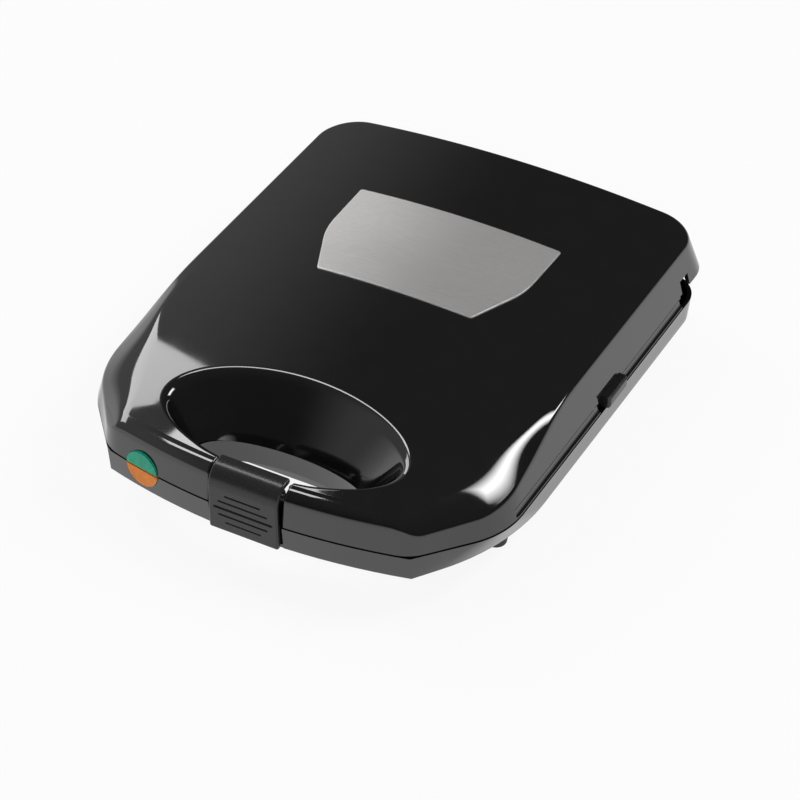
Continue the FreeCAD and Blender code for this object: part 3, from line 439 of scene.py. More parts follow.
FRONT_X = np.concatenate([
    spaced(FRONT_CORNER - CORNER_ROUND, SLOT_HALF + SLOT_EDGE_STEPS[0], BAR_POINTS),
    SLOT_HALF + np.array(SLOT_EDGE_STEPS),
    np.linspace(MIDDLE_HALF, 0.0, MIDDLE_POINTS),
])


def corner_frame(half, front, corner):
    """The shoulder's centre, the front corner, and where the shoulder's arc leaves towards it."""
    centre = np.array([half - SHOULDER_RADIUS, front + SHOULDER_SETBACK])
    tip = np.array([corner, front + FRONT_BOW])
    reach = tip - centre
    turn = math.atan2(reach[1], reach[0]) + math.acos(SHOULDER_RADIUS / np.linalg.norm(reach))
    return centre, tip, turn, centre + SHOULDER_RADIUS * turned(turn)


def half_outline(half, front, back, back_radius, corner):
    """Points of the right half of the plan outline, from the back's middle round to the nose."""
    centre, tip, turn, leave = corner_frame(half, front, corner)
    bow = (corner ** 2 + FRONT_BOW ** 2) / (2 * FRONT_BOW)
    middle = np.array([half - back_radius, back - back_radius])

    def on_bow(x):
        return np.array([x, front + bow - math.sqrt(bow ** 2 - x ** 2)])

    points = [(x, back) for x in spaced(0, half - back_radius, BACK_POINTS)]
    points += [middle + back_radius * turned(a) for a in spaced(math.pi / 2, 0, BACK_TURN_POINTS)]
    points += [(half, y) for y in spaced(back - back_radius, centre[1], SIDE_POINTS)]
    points += [centre + SHOULDER_RADIUS * turned(a) for a in spaced(0, turn, SHOULDER_POINTS)]
    start = leave + (tip - leave) * (1 - CORNER_ROUND / np.linalg.norm(tip - leave))
    points += [leave + (start - leave) * share for share in spaced(0, 1, RUN_POINTS)]
    bar_end = corner - CORNER_ROUND
    points += rounded_corner(start, tip, on_bow(bar_end), spaced(0, 1, CORNER_POINTS))
    points += [on_bow(bar_end * x / FRONT_X[0] if x > BAR_STRETCH else x) for x in FRONT_X]
    return np.array(points)


def lid_outline(z, inset):
    climb = (z - SEAM) / SIDE_HEIGHT
    return half_outline(
        half=HALF_WIDTH - SIDE_DRAFT * climb - inset,
        front=FRONT + FRONT_DRAFT * climb + inset,
        back=BACK - BACK_DRAFT * climb - inset,
        back_radius=BACK_RADIUS - inset,
        corner=FRONT_CORNER - inset / 2)


OUTLINE_Z = np.linspace(OUTLINE_LOW, OUTLINE_HIGH, OUTLINE_LEVELS)
OUTLINES = {inset: np.array([lid_outline(z, inset) for z in OUTLINE_Z]) for inset in (0.0, WALL)}


def outline_at(z, inset=0.0):
    """The outline's points, each at its own height."""
    table = OUTLINES[inset]
    place = (z - OUTLINE_LOW) / (OUTLINE_Z[1] - OUTLINE_LOW)
    place = np.clip(place, 0, OUTLINE_LEVELS - 1 - SLIGHT)
    low = place.astype(int)
    share = (place - low)[:, None]
    columns = np.arange(table.shape[1])
    return table[low, columns] * (1 - share) + table[low + 1, columns] * share


# The lid's top, with the facets given by tables along Y

def facet_wall():
    """How far out the side wall is along the facet."""
    climb = (TOP_EDGE - FACET_FALL - SEAM) / SIDE_HEIGHT
    half = HALF_WIDTH - SIDE_DRAFT * climb
    centre, tip, _, leave = corner_frame(half, FRONT + FRONT_DRAFT * climb, FRONT_CORNER)
    bulge = centre[0] + np.sqrt(np.maximum(0, SHOULDER_RADIUS ** 2 - (FACET_Y - centre[1]) ** 2))
    taper = leave[0] + (tip[0] - leave[0]) * (leave[1] - FACET_Y) / (leave[1] - tip[1])
    return np.where(FACET_Y >= centre[1], half, np.where(FACET_Y >= leave[1], bulge, taper))


def facet_share(column):
    """A column of the facet's shares, read half straight and half eased between its rows."""
    rows = np.array(FACET_SHARES)
    index = np.clip(np.searchsorted(rows[:, 0], FACET_ALONG) - 1, 0, len(rows) - 2)
    part = np.clip((FACET_ALONG - rows[index, 0]) / (rows[index + 1, 0] - rows[index, 0]), 0, 1)
    mixed = (part + part * part * (3 - 2 * part)) / 2
    return rows[index, column] + (rows[index + 1, column] - rows[index, column]) * mixed


def eased(values, reach):
    """A table over FACET_Y drawn smooth over the given reach."""
    steps = np.arange(-EASE_SPAN * reach, EASE_SPAN * reach + FACET_STEP, FACET_STEP)
    weight = np.exp(-0.5 * (steps / reach) ** 2)
    padded = np.pad(values, len(steps) // 2, mode="edge")
    return np.convolve(padded, weight / weight.sum(), mode="valid")[:len(values)]


FACET_Y = np.arange(FRONT - FACET_MARGIN, BACK + FACET_MARGIN, FACET_STEP)
FACET_ALONG = (FRONT + FACET_REAR - FACET_Y) / FACET_LENGTH
FACET_X = eased(facet_wall(), FACET_EASE_X)
FACET_WIDE = eased(np.maximum(FACET_LEAST, FACET_WIDTH * facet_share(1)), FACET_EASE_WIDE)
FACET_DEEP = eased(np.where(FACET_ALONG > 0, FACET_FALL * facet_share(2), 0), FACET_EASE_DEEP)


def top_height(x, y):
    width = np.interp(y, FACET_Y, FACET_WIDE)
    reach = np.maximum(0, (np.abs(x) - (np.interp(y, FACET_Y, FACET_X) - width)) / width)
    fallen = np.where(reach < 1, reach ** FACET_POWER, 1 + FACET_POWER * (reach - 1))
    facet = np.interp(y, FACET_Y, FACET_DEEP) * fallen
    beyond = np.maximum(0, FRONT + SLOPE_START - y)
    crown = CROWN * (1 - (x / (HALF_WIDTH - SIDE_DRAFT)) ** 2)
    return TOP_EDGE + crown - beyond ** 2 / (2 * SLOPE_RADIUS) - facet


def roll_height(x, y):
    """The rounded upper front edge, by distance from the bow's own centre."""
    low = SEAM + FACE_HEIGHT
    outer = BOW_RADIUS - FRONT_DRAFT * FACE_HEIGHT / SIDE_HEIGHT + ROLL_OVERLAP
    inner = outer - ROLL_RADIUS
    distance = np.hypot(x, y - FRONT - BOW_RADIUS)
    arc = low + np.sqrt(np.maximum(0, ROLL_RADIUS ** 2 - np.clip(distance - inner, 0, None) ** 2))
    climb = low + ROLL_RADIUS + ROLL_CLIMB * (inner - distance) / ROLL_RUN
    past = low - ROLL_DROP * (distance - outer)
    return np.where(distance > outer, past, np.where(distance > inner, arc, climb))


def height(x, y):
    top, roll = top_height(x, y), roll_height(x, y)
    share = np.clip(0.5 + 0.5 * (roll - top) / ROLL_BLEND, 0, 1)
    return roll * (1 - share) + top * share - ROLL_BLEND * share * (1 - share)


def funnel(rise, angle, grow=0.0):
    """Points of the opening's wall at a rise above the seam and an angle round it."""
    wide = (OPEN_HALF_WIDTH + FLARE_WIDTH * rise + grow) * np.cos(angle)
    deep = (OPEN_HALF_DEPTH + FLARE_DEPTH * rise + grow) * np.sin(angle)
    return np.stack([
        wide, OPEN_Y + FLARE_BACK * rise + deep * math.cos(OPEN_TILT),
        SEAM + rise + deep * math.sin(OPEN_TILT)], axis=-1)


def on_top(place):
    return np.column_stack([place, height(place[:, 0], place[:, 1])])


def on_wall(z):
    return np.column_stack([outline_at(z), z])


# The lid's skin

def opening_angles(seam_line, at_front):
    """The angle round the opening that each column of the skin runs to."""
    wide = OPEN_HALF_WIDTH + FLARE_WIDTH * MOUTH_RISE
    deep = OPEN_HALF_DEPTH + FLARE_DEPTH * MOUTH_RISE
    centre_y = OPEN_Y + FLARE_BACK * MOUTH_RISE
    angle = np.arctan2((seam_line[:, 1] - centre_y) / deep, seam_line[:, 0] / wide)
    front_x = np.interp(seam_line[:, 0], BAR_PLACES, OPENING_PLACES)
    angle = np.where(at_front, -np.arccos(np.clip(front_x / wide, 0, 1)), angle)
    before = np.flatnonzero(~at_front)
    tail = before[angle[before] < 0]
    angle[tail] = angle[tail] * angle[before[-1] + 1] / (angle[tail[-1]] * TAIL_GAP)
    return angle


def outer_rows(angle, mouth, edge_z):
    """Up the opening's wall, round its lip, over the top, round the upper edge and down the side wall."""
    columns = len(angle)
    edge = on_wall(edge_z)
    rim = funnel(mouth, angle)
    across = edge[:, :2] - rim[:, :2]
    length = np.linalg.norm(across, axis=1)
    ray = across / length[:, None]

    def down_the_ray(distance):
        return on_top(rim[:, :2] + ray * distance[:, None])

    def short_of_edge(distance):
        return EDGE_ROUND - np.linalg.norm(down_the_ray(length - distance) - edge, axis=1)

    lip_foot = mouth - LIP_IN
    lip_low = funnel(lip_foot, angle)
    low_way = unit(funnel(lip_foot + LIP_NUDGE, angle) - lip_low)
    lip_out = np.interp(angle, LIP_ANGLES, LIP_OUT)
    lip_high = down_the_ray(lip_out)
    high_way = unit(down_the_ray(lip_out + LIP_NUDGE) - lip_high)

    edge_in = length - solve(columns, EDGE_IN_RANGE, short_of_edge)
    turn_start = down_the_ray(edge_in)
    start_way = unit(turn_start - down_the_ray(edge_in - EDGE_NUDGE))
    drop_z = edge_z - EDGE_DROP
    turn_end = on_wall(drop_z)
    end_way = unit(on_wall(drop_z - WALL_NUDGE) - turn_end)

    foot = solve(columns, FOOT_RANGE, lambda rise: LID_LOW - funnel(rise, angle)[:, 2])
    rows = [funnel(foot + (lip_foot - foot) * t, angle) for t in spaced(0, 1, FUNNEL_ROWS)]
    rows += bridge(lip_low, low_way, lip_high, high_way, LIP_ROWS)
    for u in np.linspace(0, 1, TOP_ROWS + 2)[1:-1]:
        t = 1 - (1 - u) ** TOP_CROWDING
        rows.append(down_the_ray(lip_out + (edge_in - lip_out) * t))
    rows += bridge(turn_start, start_way, turn_end, end_way, EDGE_ROWS)
    rows += [on_wall(drop_z + (LID_LOW - drop_z) * t) for t in np.linspace(0, 1, WALL_ROWS + 1)[1:]]
    return rows


def inner_rows(angle, mouth, edge_z, hollow):
    """Up the inside of the wall, under the top and down round the opening; not hollow behind the latch."""
    inside_z = edge_z - INSIDE_DROP
    floor_z = LID_LOW + SOLID_SKIN

    def filled(z):
        return floor_z + (z - floor_z) * hollow

    rows = []
    for t in np.linspace(0, 1, INNER_WALL_ROWS):
        z = LID_LOW + (inside_z - LID_LOW) * t
        rows.append(np.column_stack([outline_at(z, WALL), np.minimum(z, filled(z)) if t else z]))
    inner_edge = outline_at(inside_z, WALL)
    collar_top = mouth - COLLAR_DROP
    collar = funnel(collar_top, angle, WALL)
    for t in np.linspace(0, 1, INNER_TOP_ROWS + 2)[1:-1]:
        place = inner_edge + (collar[:, :2] - inner_edge) * t
        full = height(place[:, 0], place[:, 1]) - WALL
        ease = inside_z * (1 - t) + collar[:, 2] * t
        near = min(1, min(t, 1 - t) / INSIDE_EASE)
        z = np.minimum(full, ease * (1 - near) + full * near)
        rows.append(np.column_stack([place, filled(z)]))
    foot = solve(len(angle), FOOT_RANGE, lambda rise: LID_LOW - funnel(rise, angle, WALL)[:, 2])
    for t in np.linspace(0, 1, INNER_FUNNEL_ROWS):
        place = funnel(collar_top + (foot - collar_top) * t, angle, WALL)
        place[:, 2] = filled(place[:, 2]) if t < 1 else LID_LOW
        rows.append(place)
    return rows


def lid_rows():
    """Rows of the right half of the lid's skin, which run round from the opening's foot to it again."""
    columns = OUTLINES[0.0].shape[1]
    at_front = np.arange(columns) >= columns - len(FRONT_X)
    seam_line = outline_at(np.full(columns, LID_LOW))
    angle = opening_angles(seam_line, at_front)

    def over_funnel(rise):
        place = funnel(rise, angle)
        return height(place[:, 0], place[:, 1]) - place[:, 2]

    edge_z = solve(columns, EDGE_RANGE, lambda z: on_top(outline_at(z))[:, 2] - z)
    mouth = solve(columns, MOUTH_RANGE, over_funnel)
    hollow = np.clip((np.abs(seam_line[:, 0]) - SOLID_HALF) / SOLID_FADE, 0, 1)
    hollow = np.where(at_front, hollow, 1.0)
    return np.array(outer_rows(angle, mouth, edge_z) + inner_rows(angle, mouth, edge_z, hollow))


def round_slot_edges(rows):
    """Draws the bar's outer skin in along the latch slot's edges, so that they are rounded."""
    outer = rows[:OUTER_ROWS]
    away = np.clip(np.abs(outer[:, :, 0]) - SLOT_HALF + SLOT_OVERLAP, 0, SLOT_ROUND)
    sink = SLOT_ROUND - np.sqrt(np.maximum(0, SLOT_ROUND ** 2 - (SLOT_ROUND - away) ** 2))
    sink = np.where(outer[:, :, 1] < OPEN_Y, sink, 0)
    normal = unit(np.cross(np.gradient(outer, axis=0), np.gradient(outer, axis=1)))
    middle = np.array([0.0, FRONT + BAR_SETBACK, SEAM + SLOT_FLOOR])
    facing = np.sum(normal * (outer - middle), axis=-1, keepdims=True)
    normal = normal * np.where(facing < 0, -1, 1)
    outer -= normal * sink[..., None]


def whole_ring(half):
    """The right half's points followed by the left half's, mirrored."""
    other = half[:, -2:0:-1].copy()
    other[:, :, 0] *= -1
    return np.concatenate([half, other], axis=1)


def lens_hole():
    lean = math.asin(LENS_X / BOW_RADIUS)
    way = np.array([math.sin(lean), -math.cos(lean), 0.0])
    face = np.array([0.0, FRONT + BOW_RADIUS, SEAM]) + way * BOW_RADIUS
    return rod(face - way * OVERRUN, face + way * OVERRUN, LENS_HOLE, LENS_SIDES)


def slot_cuts():
    """The latch slot: down the bar's face, over its top, and a narrower deep part."""
    start = FRONT - OVERRUN
    narrow = SLOT_HALF - SLOT_NARROWING
    return [
        block(-SLOT_HALF, SLOT_HALF, start, FRONT + SLOT_DEPTH, FAR_LOW, FAR_HIGH),
        block(-SLOT_HALF, SLOT_HALF, start + 2 * STAGGER, OPEN_Y, SEAM + SLOT_TOP, FAR_HIGH - STAGGER),
        block(-narrow, narrow, start + 3 * STAGGER, OPEN_Y - STAGGER, SEAM + SLOT_FLOOR,
              FAR_HIGH - 2 * STAGGER),
    ]


def side_cuts(side):
    """The rear notch with its lower step, and the groove along the side."""
    low_x, high_x = sorted((side * (HALF_WIDTH - BACK_RADIUS), side * FAR_SIDE))
    wall_x = HALF_WIDTH - SIDE_DRAFT * SIDE_GROOVE_RISE / SIDE_HEIGHT
    groove_x = side * (wall_x + SIDE_GROOVE_RADIUS - SIDE_GROOVE_DEPTH)
    groove_z = SEAM + SIDE_GROOVE_RISE
    groove_start = (groove_x, FRONT + SIDE_GROOVE_START, groove_z)
    groove_stop = (groove_x, NOTCH_Y - SIDE_GROOVE_STOP, groove_z)
    return [
        block(low_x, high_x, NOTCH_Y, NOTCH_Y + NOTCH_LENGTH + NOTCH_OVERLAP,
              FAR_LOW + STAGGER, LID_LOW + NOTCH_HEIGHT),
        block(low_x, high_x, NOTCH_Y - STEP_LENGTH, NOTCH_Y + STAGGER,
              FAR_LOW + 2 * STAGGER, LID_LOW + STEP_HEIGHT),
        rod(groove_start, groove_stop, SIDE_GROOVE_RADIUS, SIDE_GROOVE_SIDES),
    ]


def make_lid():
    rows = lid_rows()
    round_slot_edges(rows)
    rows[:, 0, 0] = 0
    rows[:, -1, 0] = 0
    lid = closed_grid("lid_skin", whole_ring(rows))
    rear = block(-FAR_SIDE, FAR_SIDE, NOTCH_Y + NOTCH_LENGTH, BACK + OVERRUN, FAR_LOW, SEAM + REAR_LIFT)
    tab_room = block(HALF_WIDTH - TAB_ROOM_DEPTH, FAR_SIDE, TAB_FRONT - RELEASE_TRAVEL - TAB_PLAY,
                     TAB_REAR + TAB_PLAY, FAR_LOW, SEAM + TAB_ROOM_HEIGHT)
    cut_away(lid, [rear, lens_hole(), *slot_cuts(), tab_room, *side_cuts(-1), *side_cuts(1)])
    smooth(lid, LID_CREASE)
    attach(lid, "lid")
    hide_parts("lid_shell")
    return lid


# The latch

def section_ring(wide, thick, steps):
    """One ring of the latch's section, drawn in by the rounding at its own place across."""
    low = RIM_LOW + LATCH_LIFT
    bend = LATCH_BEND - LATCH_SKIN / 2
    rise = SEAM + FACE_HEIGHT - low
    turn = bend * math.pi / 2
    length = rise + turn + LATCH_LIP
    drawn = LATCH_SKIN / 2 - thick
    along = drawn + (length - 2 * drawn) * steps
    end = np.minimum(along - drawn, length - drawn - along)
    edge = min(LATCH_ROUND, thick)
    half = thick - edge + np.sqrt(np.maximum(0, edge ** 2 - np.maximum(0, edge - end) ** 2))
    angle = np.clip((along - rise) / bend, 0, math.pi / 2)
    middle = np.column_stack([
        FRONT - LATCH_PROUD + LATCH_BEND - bend * np.cos(angle) + np.maximum(0, along - rise - turn),
        low + np.minimum(along, rise) + bend * np.sin(angle)])
    way = np.column_stack([-np.cos(angle), np.sin(angle)])
    outer = middle + way * half[:, None]
    inner = middle - way * half[:, None]
    for row, (share, tall) in enumerate(LATCH_GROOVES):
        z = low + GROOVE_START + row * GROOVE_PITCH
        past = np.maximum(0, abs(wide) - LATCH_HALF * share + tall / 2)
        near = np.clip((tall / 2 - np.hypot(past, outer[:, 1] - z)) / GROOVE_FLANK, 0, 1)
        outer[:, 0] += GROOVE_DEPTH * near * near * (3 - 2 * near)
    ring = np.vstack([outer, inner[::-1]])
    return np.column_stack([np.full(len(ring), wide), ring])


def latch_boss():
    """The tube behind the latch that its pin runs through."""
    turns = spaced(0, 2 * math.pi, BOSS_SIDES)
    face, body = BOSS_RADIUS - BOSS_CHAMFER, BOSS_HALF - BOSS_CHAMFER
    rings = [
        (-BOSS_HALF, face), (-body, BOSS_RADIUS), (body, BOSS_RADIUS),
        (BOSS_HALF, face), (BOSS_HALF, BOSS_BORE), (-BOSS_HALF, BOSS_BORE),
    ]
    tube = []
    for x, radius in rings:
        y = FRONT + PIN_SETBACK + radius * np.cos(turns)
        z = SEAM + PIN_RISE + radius * np.sin(turns)
        tube.append(np.column_stack([np.full(BOSS_SIDES, x), y, z]))
    return closed_grid("boss", tube)


def make_latch():
    ends = LATCH_ROUND * (1 - np.cos(np.linspace(0, math.pi / 2, LATCH_ROUND_POINTS)))
    middle = np.linspace(LATCH_ROUND, 2 * LATCH_HALF - LATCH_ROUND, LATCH_COLUMNS)
    across = np.concatenate([ends[:-1], middle, 2 * LATCH_HALF - ends[-2::-1]]) - LATCH_HALF
    curl = LATCH_END * (0.5 - 0.5 * np.cos(np.linspace(0, math.pi / 2, LATCH_END_POINTS)))
    plain = np.linspace(LATCH_MARGIN, 1 - LATCH_MARGIN, LATCH_POINTS)
    steps = np.unique(np.round(np.concatenate([curl, plain, 1 - curl[::-1]]), STEP_DECIMALS))
    rows = []
    for x in across:
        short = max(0, LATCH_ROUND - (LATCH_HALF - abs(x)))
        inset = LATCH_ROUND - math.sqrt(max(0, LATCH_ROUND ** 2 - short ** 2))
        rows.append(section_ring(x, LATCH_SKIN / 2 - inset, steps))
    latch = capped_grid("latch_skin", rows)
    boss = latch_boss()
    with bpy.context.temp_override(active_object=latch, selected_editable_objects=[latch, boss]):
        bpy.ops.object.join()
    smooth(latch, LATCH_CREASE)
    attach(latch, "latch")
    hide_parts("latch_clip")
    return latch


# The bare metal plate

def badge_outline(inset):
    """The metal plate's outline from its front middle round the right side to its back middle."""
    back = BACK - BADGE_SETBACK - inset
    front = BACK - BADGE_SETBACK - BADGE_DEPTH + inset
    knee_y = BACK - BADGE_SETBACK - BADGE_KNEE_SHARE * BADGE_DEPTH
    side = [np.array(p) for p in (
        (0.0, front), (BADGE_FRONT_HALF - inset, front), (BADGE_KNEE_HALF - inset, knee_y),
        (BADGE_BACK_HALF - inset, back), (0.0, back))]
    corner = (BADGE_CORNER, BADGE_CORNER_POINTS)
    knee = (BADGE_KNEE_ROUND, BADGE_KNEE_POINTS)
    points = [np.array([x, front]) for x in spaced(0, BADGE_FLAT, BADGE_FLAT_POINTS)]
    for k, (radius, count) in enumerate((corner, knee, corner), start=1):
        start = side[k] + radius * unit(side[k - 1] - side[k])
        end = side[k] + radius * unit(side[k + 1] - side[k])
        last = points[-1]
        between = max(2, int(np.linalg.norm(start - last) / BADGE_SPACING))
        points += [last + (start - last) * t for t in np.linspace(0, 1, between)[1:-1]]
        points += rounded_corner(start, side[k], end, np.linspace(0, 1, count))
    points += [np.array([x, back]) for x in np.linspace(points[-1][0], 0, BADGE_BACK_POINTS)[1:]]
    return np.array(points)


def make_badge():
    """The plate with its edge rounded over, laid on the lid's crown."""
    halves = [(badge_outline(0.0), 0.0)]
    for turn in np.linspace(0, math.pi / 2, BADGE_EDGE_ROWS):
        inset = BADGE_EDGE * (1 - math.cos(turn))
        halves.append((badge_outline(inset), BADGE_THICK - BADGE_EDGE + BADGE_EDGE * math.sin(turn)))
    field = badge_outline(BADGE_FIELD)
    middle = np.array([0.0, BACK - BADGE_SETBACK - BADGE_DEPTH / 2])
    for share in np.linspace(1.0, BADGE_LEAST, BADGE_FIELD_ROWS):
        halves.append((middle + (field - middle) * share, BADGE_THICK))
    rows = []
    for half, lift in halves:
        ring = np.vstack([half, half[-2:0:-1] * (-1, 1)])
        rows.append(np.column_stack([ring, top_height(ring[:, 0], ring[:, 1]) + lift]))
    badge = capped_grid("badge_skin", rows)
    smooth(badge, BADGE_CREASE)
    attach(badge, "lid")
    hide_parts("badge_plate")
    return badge


lid_skin = make_lid()
badge_skin = make_badge()
latch_skin = make_latch()


# Materials

WHITE = (1, 1, 1, 1)
GRAIN_LOW = 0.3
GRAIN_HIGH = 0.7

LENS_GRAIN = 260
LENS_DARK = 0.85
LENS_LIGHT = 1.12
LENS_ROUGH = (0.10, 0.18)
LENS_CLEAR = 0.15
LENS_IOR = 1.33
LENS_BUMP = (0.15, 0.0001)

BRUSH_LINES = dict(scale=60, detail=6, stretch=(0.25, 60, 60))
BRUSH_CLOUDS = dict(scale=14, detail=2, stretch=(1, 2, 1))
BRUSH_DARK = (0.80, 0.785, 0.78)
BRUSH_LIGHT = (0.97, 0.955, 0.95)
# Painted light on the metal plate: its colour is drawn lighter towards its left and darker to its right
PLATE_PAINTED_LIGHT_SPAN = (-0.075, 0.03)
PLATE_PAINTED_LIGHT_TONES = (0.95, 0.58)
BRUSH_ROUGH = (0.26, 0.34)
BRUSH_METAL = 0.45
BRUSH_BUMP = (0.1, 0.00001)


def shader(name):
    made = bpy.data.materials.new(name)
    made.use_nodes = True
    tree = made.node_tree
    tree.nodes.clear()
    out = tree.nodes.new("ShaderNodeOutputMaterial")
    body = tree.nodes.new("ShaderNodeBsdfPrincipled")
    tree.links.new(body.outputs["BSDF"], out.inputs["Surface"])
    return made, tree, body


def noise(tree, scale, detail, stretch=(1, 1, 1)):
    place = tree.nodes.new("ShaderNodeTexCoord")
    mapping = tree.nodes.new("ShaderNodeMapping")
    mapping.inputs["Scale"].default_value = stretch
    made = tree.nodes.new("ShaderNodeTexNoise")
    made.inputs["Scale"].default_value = scale
    made.inputs["Detail"].default_value = detail
    tree.links.new(place.outputs["Object"], mapping.inputs["Vector"])
    tree.links.new(mapping.outputs["Vector"], made.inputs["Vector"])
    return made.outputs["Fac"]


def ranged(tree, value, tones, span=(GRAIN_LOW, GRAIN_HIGH), eased_in=False):
    """A value drawn from its span to a pair of tones."""
    made = tree.nodes.new("ShaderNodeMapRange")
    made.interpolation_type = "SMOOTHSTEP" if eased_in else "LINEAR"
    made.inputs["From Min"].default_value, made.inputs["From Max"].default_value = span
    made.inputs["To Min"].default_value, made.inputs["To Max"].default_value = tones
    tree.links.new(value, made.inputs["Value"])
    return made.outputs["Result"]


def ramp(tree, value, dark, light):
    made = tree.nodes.new("ShaderNodeValToRGB")
    first, last = made.color_ramp.elements
    first.position = GRAIN_LOW
    last.position = GRAIN_HIGH
    first.color = (*dark, 1)
    last.color = (*light, 1)
    tree.links.new(value, made.inputs["Fac"])
    return made.outputs["Color"]


def scaled(colour, share):
    return [min(1, c * share) for c in colour]


def bump(tree, body, value, strength, depth):
    made = tree.nodes.new("ShaderNodeBump")
    made.inputs["Strength"].default_value = strength
    made.inputs["Distance"].default_value = depth
    tree.links.new(value, made.inputs["Height"])
    tree.links.new(made.outputs["Normal"], body.inputs["Normal"])


def axes(tree, coordinate):
    place = tree.nodes.new("ShaderNodeTexCoord")
    split = tree.nodes.new("ShaderNodeSeparateXYZ")
    tree.links.new(place.outputs[coordinate], split.inputs[0])
    return split.outputs


def combined(tree, kind, operation, first, second):
    """A maths node of the given kind, fed by two links."""
    made = tree.nodes.new(kind)
    made.operation = operation
    tree.links.new(first, made.inputs[0])
    tree.links.new(second, made.inputs[1])
    return made.outputs[0]


def surface(name, colour, spread, rough, metal=0.0, grain=900.0, detail=3.0, stretch=(1, 1, 1),
            relief=(0.1, 0.00002), ior=1.5):
    """A finish whose colour, gloss and fine relief follow one grain."""
    made, tree, body = shader(name)
    fac = noise(tree, grain, detail, stretch)
    tone = ramp(tree, fac, scaled(colour, 1 - spread), scaled(colour, 1 + spread))
    tree.links.new(tone, body.inputs["Base Color"])
    tree.links.new(ranged(tree, fac, rough), body.inputs["Roughness"])
    body.inputs["Metallic"].default_value = metal
    body.inputs["IOR"].default_value = ior
    bump(tree, body, fac, *relief)
    return made


def lens_finish(name, colour):
    made, tree, body = shader(name)
    fac = noise(tree, LENS_GRAIN, 2)
    tone = ramp(tree, fac, scaled(colour, LENS_DARK), scaled(colour, LENS_LIGHT))
    tree.links.new(tone, body.inputs["Base Color"])
    tree.links.new(ranged(tree, fac, LENS_ROUGH), body.inputs["Roughness"])
    body.inputs["Transmission Weight"].default_value = LENS_CLEAR
    body.inputs["IOR"].default_value = LENS_IOR
    bump(tree, body, fac, *LENS_BUMP)
    return made


def brushed_steel(name):
    """Fine brush lines across, with painted light that makes the plate's colour lighter towards the left,
    and a soft matt share.
    """
    made, tree, body = shader(name)
    fine = noise(tree, **BRUSH_LINES)
    broad = noise(tree, **BRUSH_CLOUDS)
    # Painted light: the base colour is lighter on the plate's left and darker on its right
    painted_light = ranged(tree, axes(tree, "Object")["X"], PLATE_PAINTED_LIGHT_TONES, PLATE_PAINTED_LIGHT_SPAN, eased_in=True)
    lines = ramp(tree, fine, BRUSH_DARK, BRUSH_LIGHT)
    tone = combined(tree, "ShaderNodeVectorMath", "MULTIPLY", lines, painted_light)
    tree.links.new(tone, body.inputs["Base Color"])
    tree.links.new(ranged(tree, broad, BRUSH_ROUGH), body.inputs["Roughness"])
    body.inputs["Metallic"].default_value = BRUSH_METAL
    bump(tree, body, fine, *BRUSH_BUMP)
    return made


# The finishes; spread is how far the colour varies, rough the range of the roughness
GLOSS_BLACK = (0.0058, 0.0058, 0.0060)
GLOSS_RELIEF = (0.02, 0.00001)
RUBBER_BLACK = (0.014, 0.014, 0.014)
SURFACES = {
    "lid_gloss": dict(colour=GLOSS_BLACK, spread=0.1, rough=(0.045, 0.07), grain=70, detail=2,
                      relief=GLOSS_RELIEF, ior=1.75),
    "base_gloss": dict(colour=GLOSS_BLACK, spread=0.1, rough=(0.05, 0.085), grain=70, detail=2,
                       relief=GLOSS_RELIEF, ior=1.75),
    "frame_plastic": dict(colour=(0.018, 0.018, 0.019), spread=0.25, rough=(0.42, 0.6), grain=1500,
                          relief=(0.3, 0.00004)),
    "cooking_aluminium": dict(colour=(0.034, 0.034, 0.036), spread=0.3, rough=(0.32, 0.5), metal=0.25,
                              grain=1100, relief=(0.25, 0.00004)),
    "slider_plastic": dict(colour=(0.010, 0.010, 0.011), spread=0.25, rough=(0.24, 0.36), grain=1600,
                           relief=(0.15, 0.00002)),
    "spring_steel": dict(colour=(0.52, 0.52, 0.53), spread=0.12, rough=(0.22, 0.34), metal=1.0,
                         grain=2400),
    "element_steel": dict(colour=(0.24, 0.22, 0.20), spread=0.3, rough=(0.38, 0.55), metal=0.9, grain=500,
                          detail=5, relief=(0.2, 0.00003)),
    "shield_aluminium": dict(colour=(0.66, 0.66, 0.67), spread=0.12, rough=(0.28, 0.44), metal=1.0,
                             grain=160, detail=5, stretch=(1, 9, 1), relief=(0.12, 0.00002)),
    "clip_steel": dict(colour=(0.54, 0.54, 0.55), spread=0.12, rough=(0.26, 0.4), metal=1.0),
    "lamp_glass": dict(colour=(0.72, 0.66, 0.60), spread=0.1, rough=(0.04, 0.1), grain=300),
    "hinge_steel": dict(colour=(0.46, 0.46, 0.45), spread=0.16, rough=(0.28, 0.42), metal=1.0, grain=420,
                        detail=5),
    "foot_rubber": dict(colour=RUBBER_BLACK, spread=0.3, rough=(0.55, 0.75), grain=1800,
                        relief=(0.35, 0.00005)),
    "screw_steel": dict(colour=(0.5, 0.5, 0.49), spread=0.15, rough=(0.24, 0.38), metal=1.0, grain=1200),
    "thermostat_metal": dict(colour=(0.52, 0.52, 0.53), spread=0.12, rough=(0.26, 0.4), metal=1.0,
                             grain=700),
    "fuse_metal": dict(colour=(0.56, 0.54, 0.51), spread=0.12, rough=(0.26, 0.38), metal=1.0),
    "block_plastic": dict(colour=(0.62, 0.58, 0.50), spread=0.08, rough=(0.38, 0.52)),
    "gland_rubber": dict(colour=RUBBER_BLACK, spread=0.3, rough=(0.5, 0.7), grain=1800,
                         relief=(0.3, 0.00005)),
    "latch_plastic": dict(colour=(0.017, 0.017, 0.018), spread=0.2, rough=(0.22, 0.28), grain=1500,
                          relief=(0.04, 0.00001)),
}
LENSES = {"green_lens": (0.010, 0.42, 0.25), "orange_lens": (0.95, 0.27, 0.02)}
finishes = {name: surface(name, **values) for name, values in SURFACES.items()}
finishes.update({name: lens_finish(name, colour) for name, colour in LENSES.items()})
finishes["plate_steel"] = brushed_steel("plate_steel")

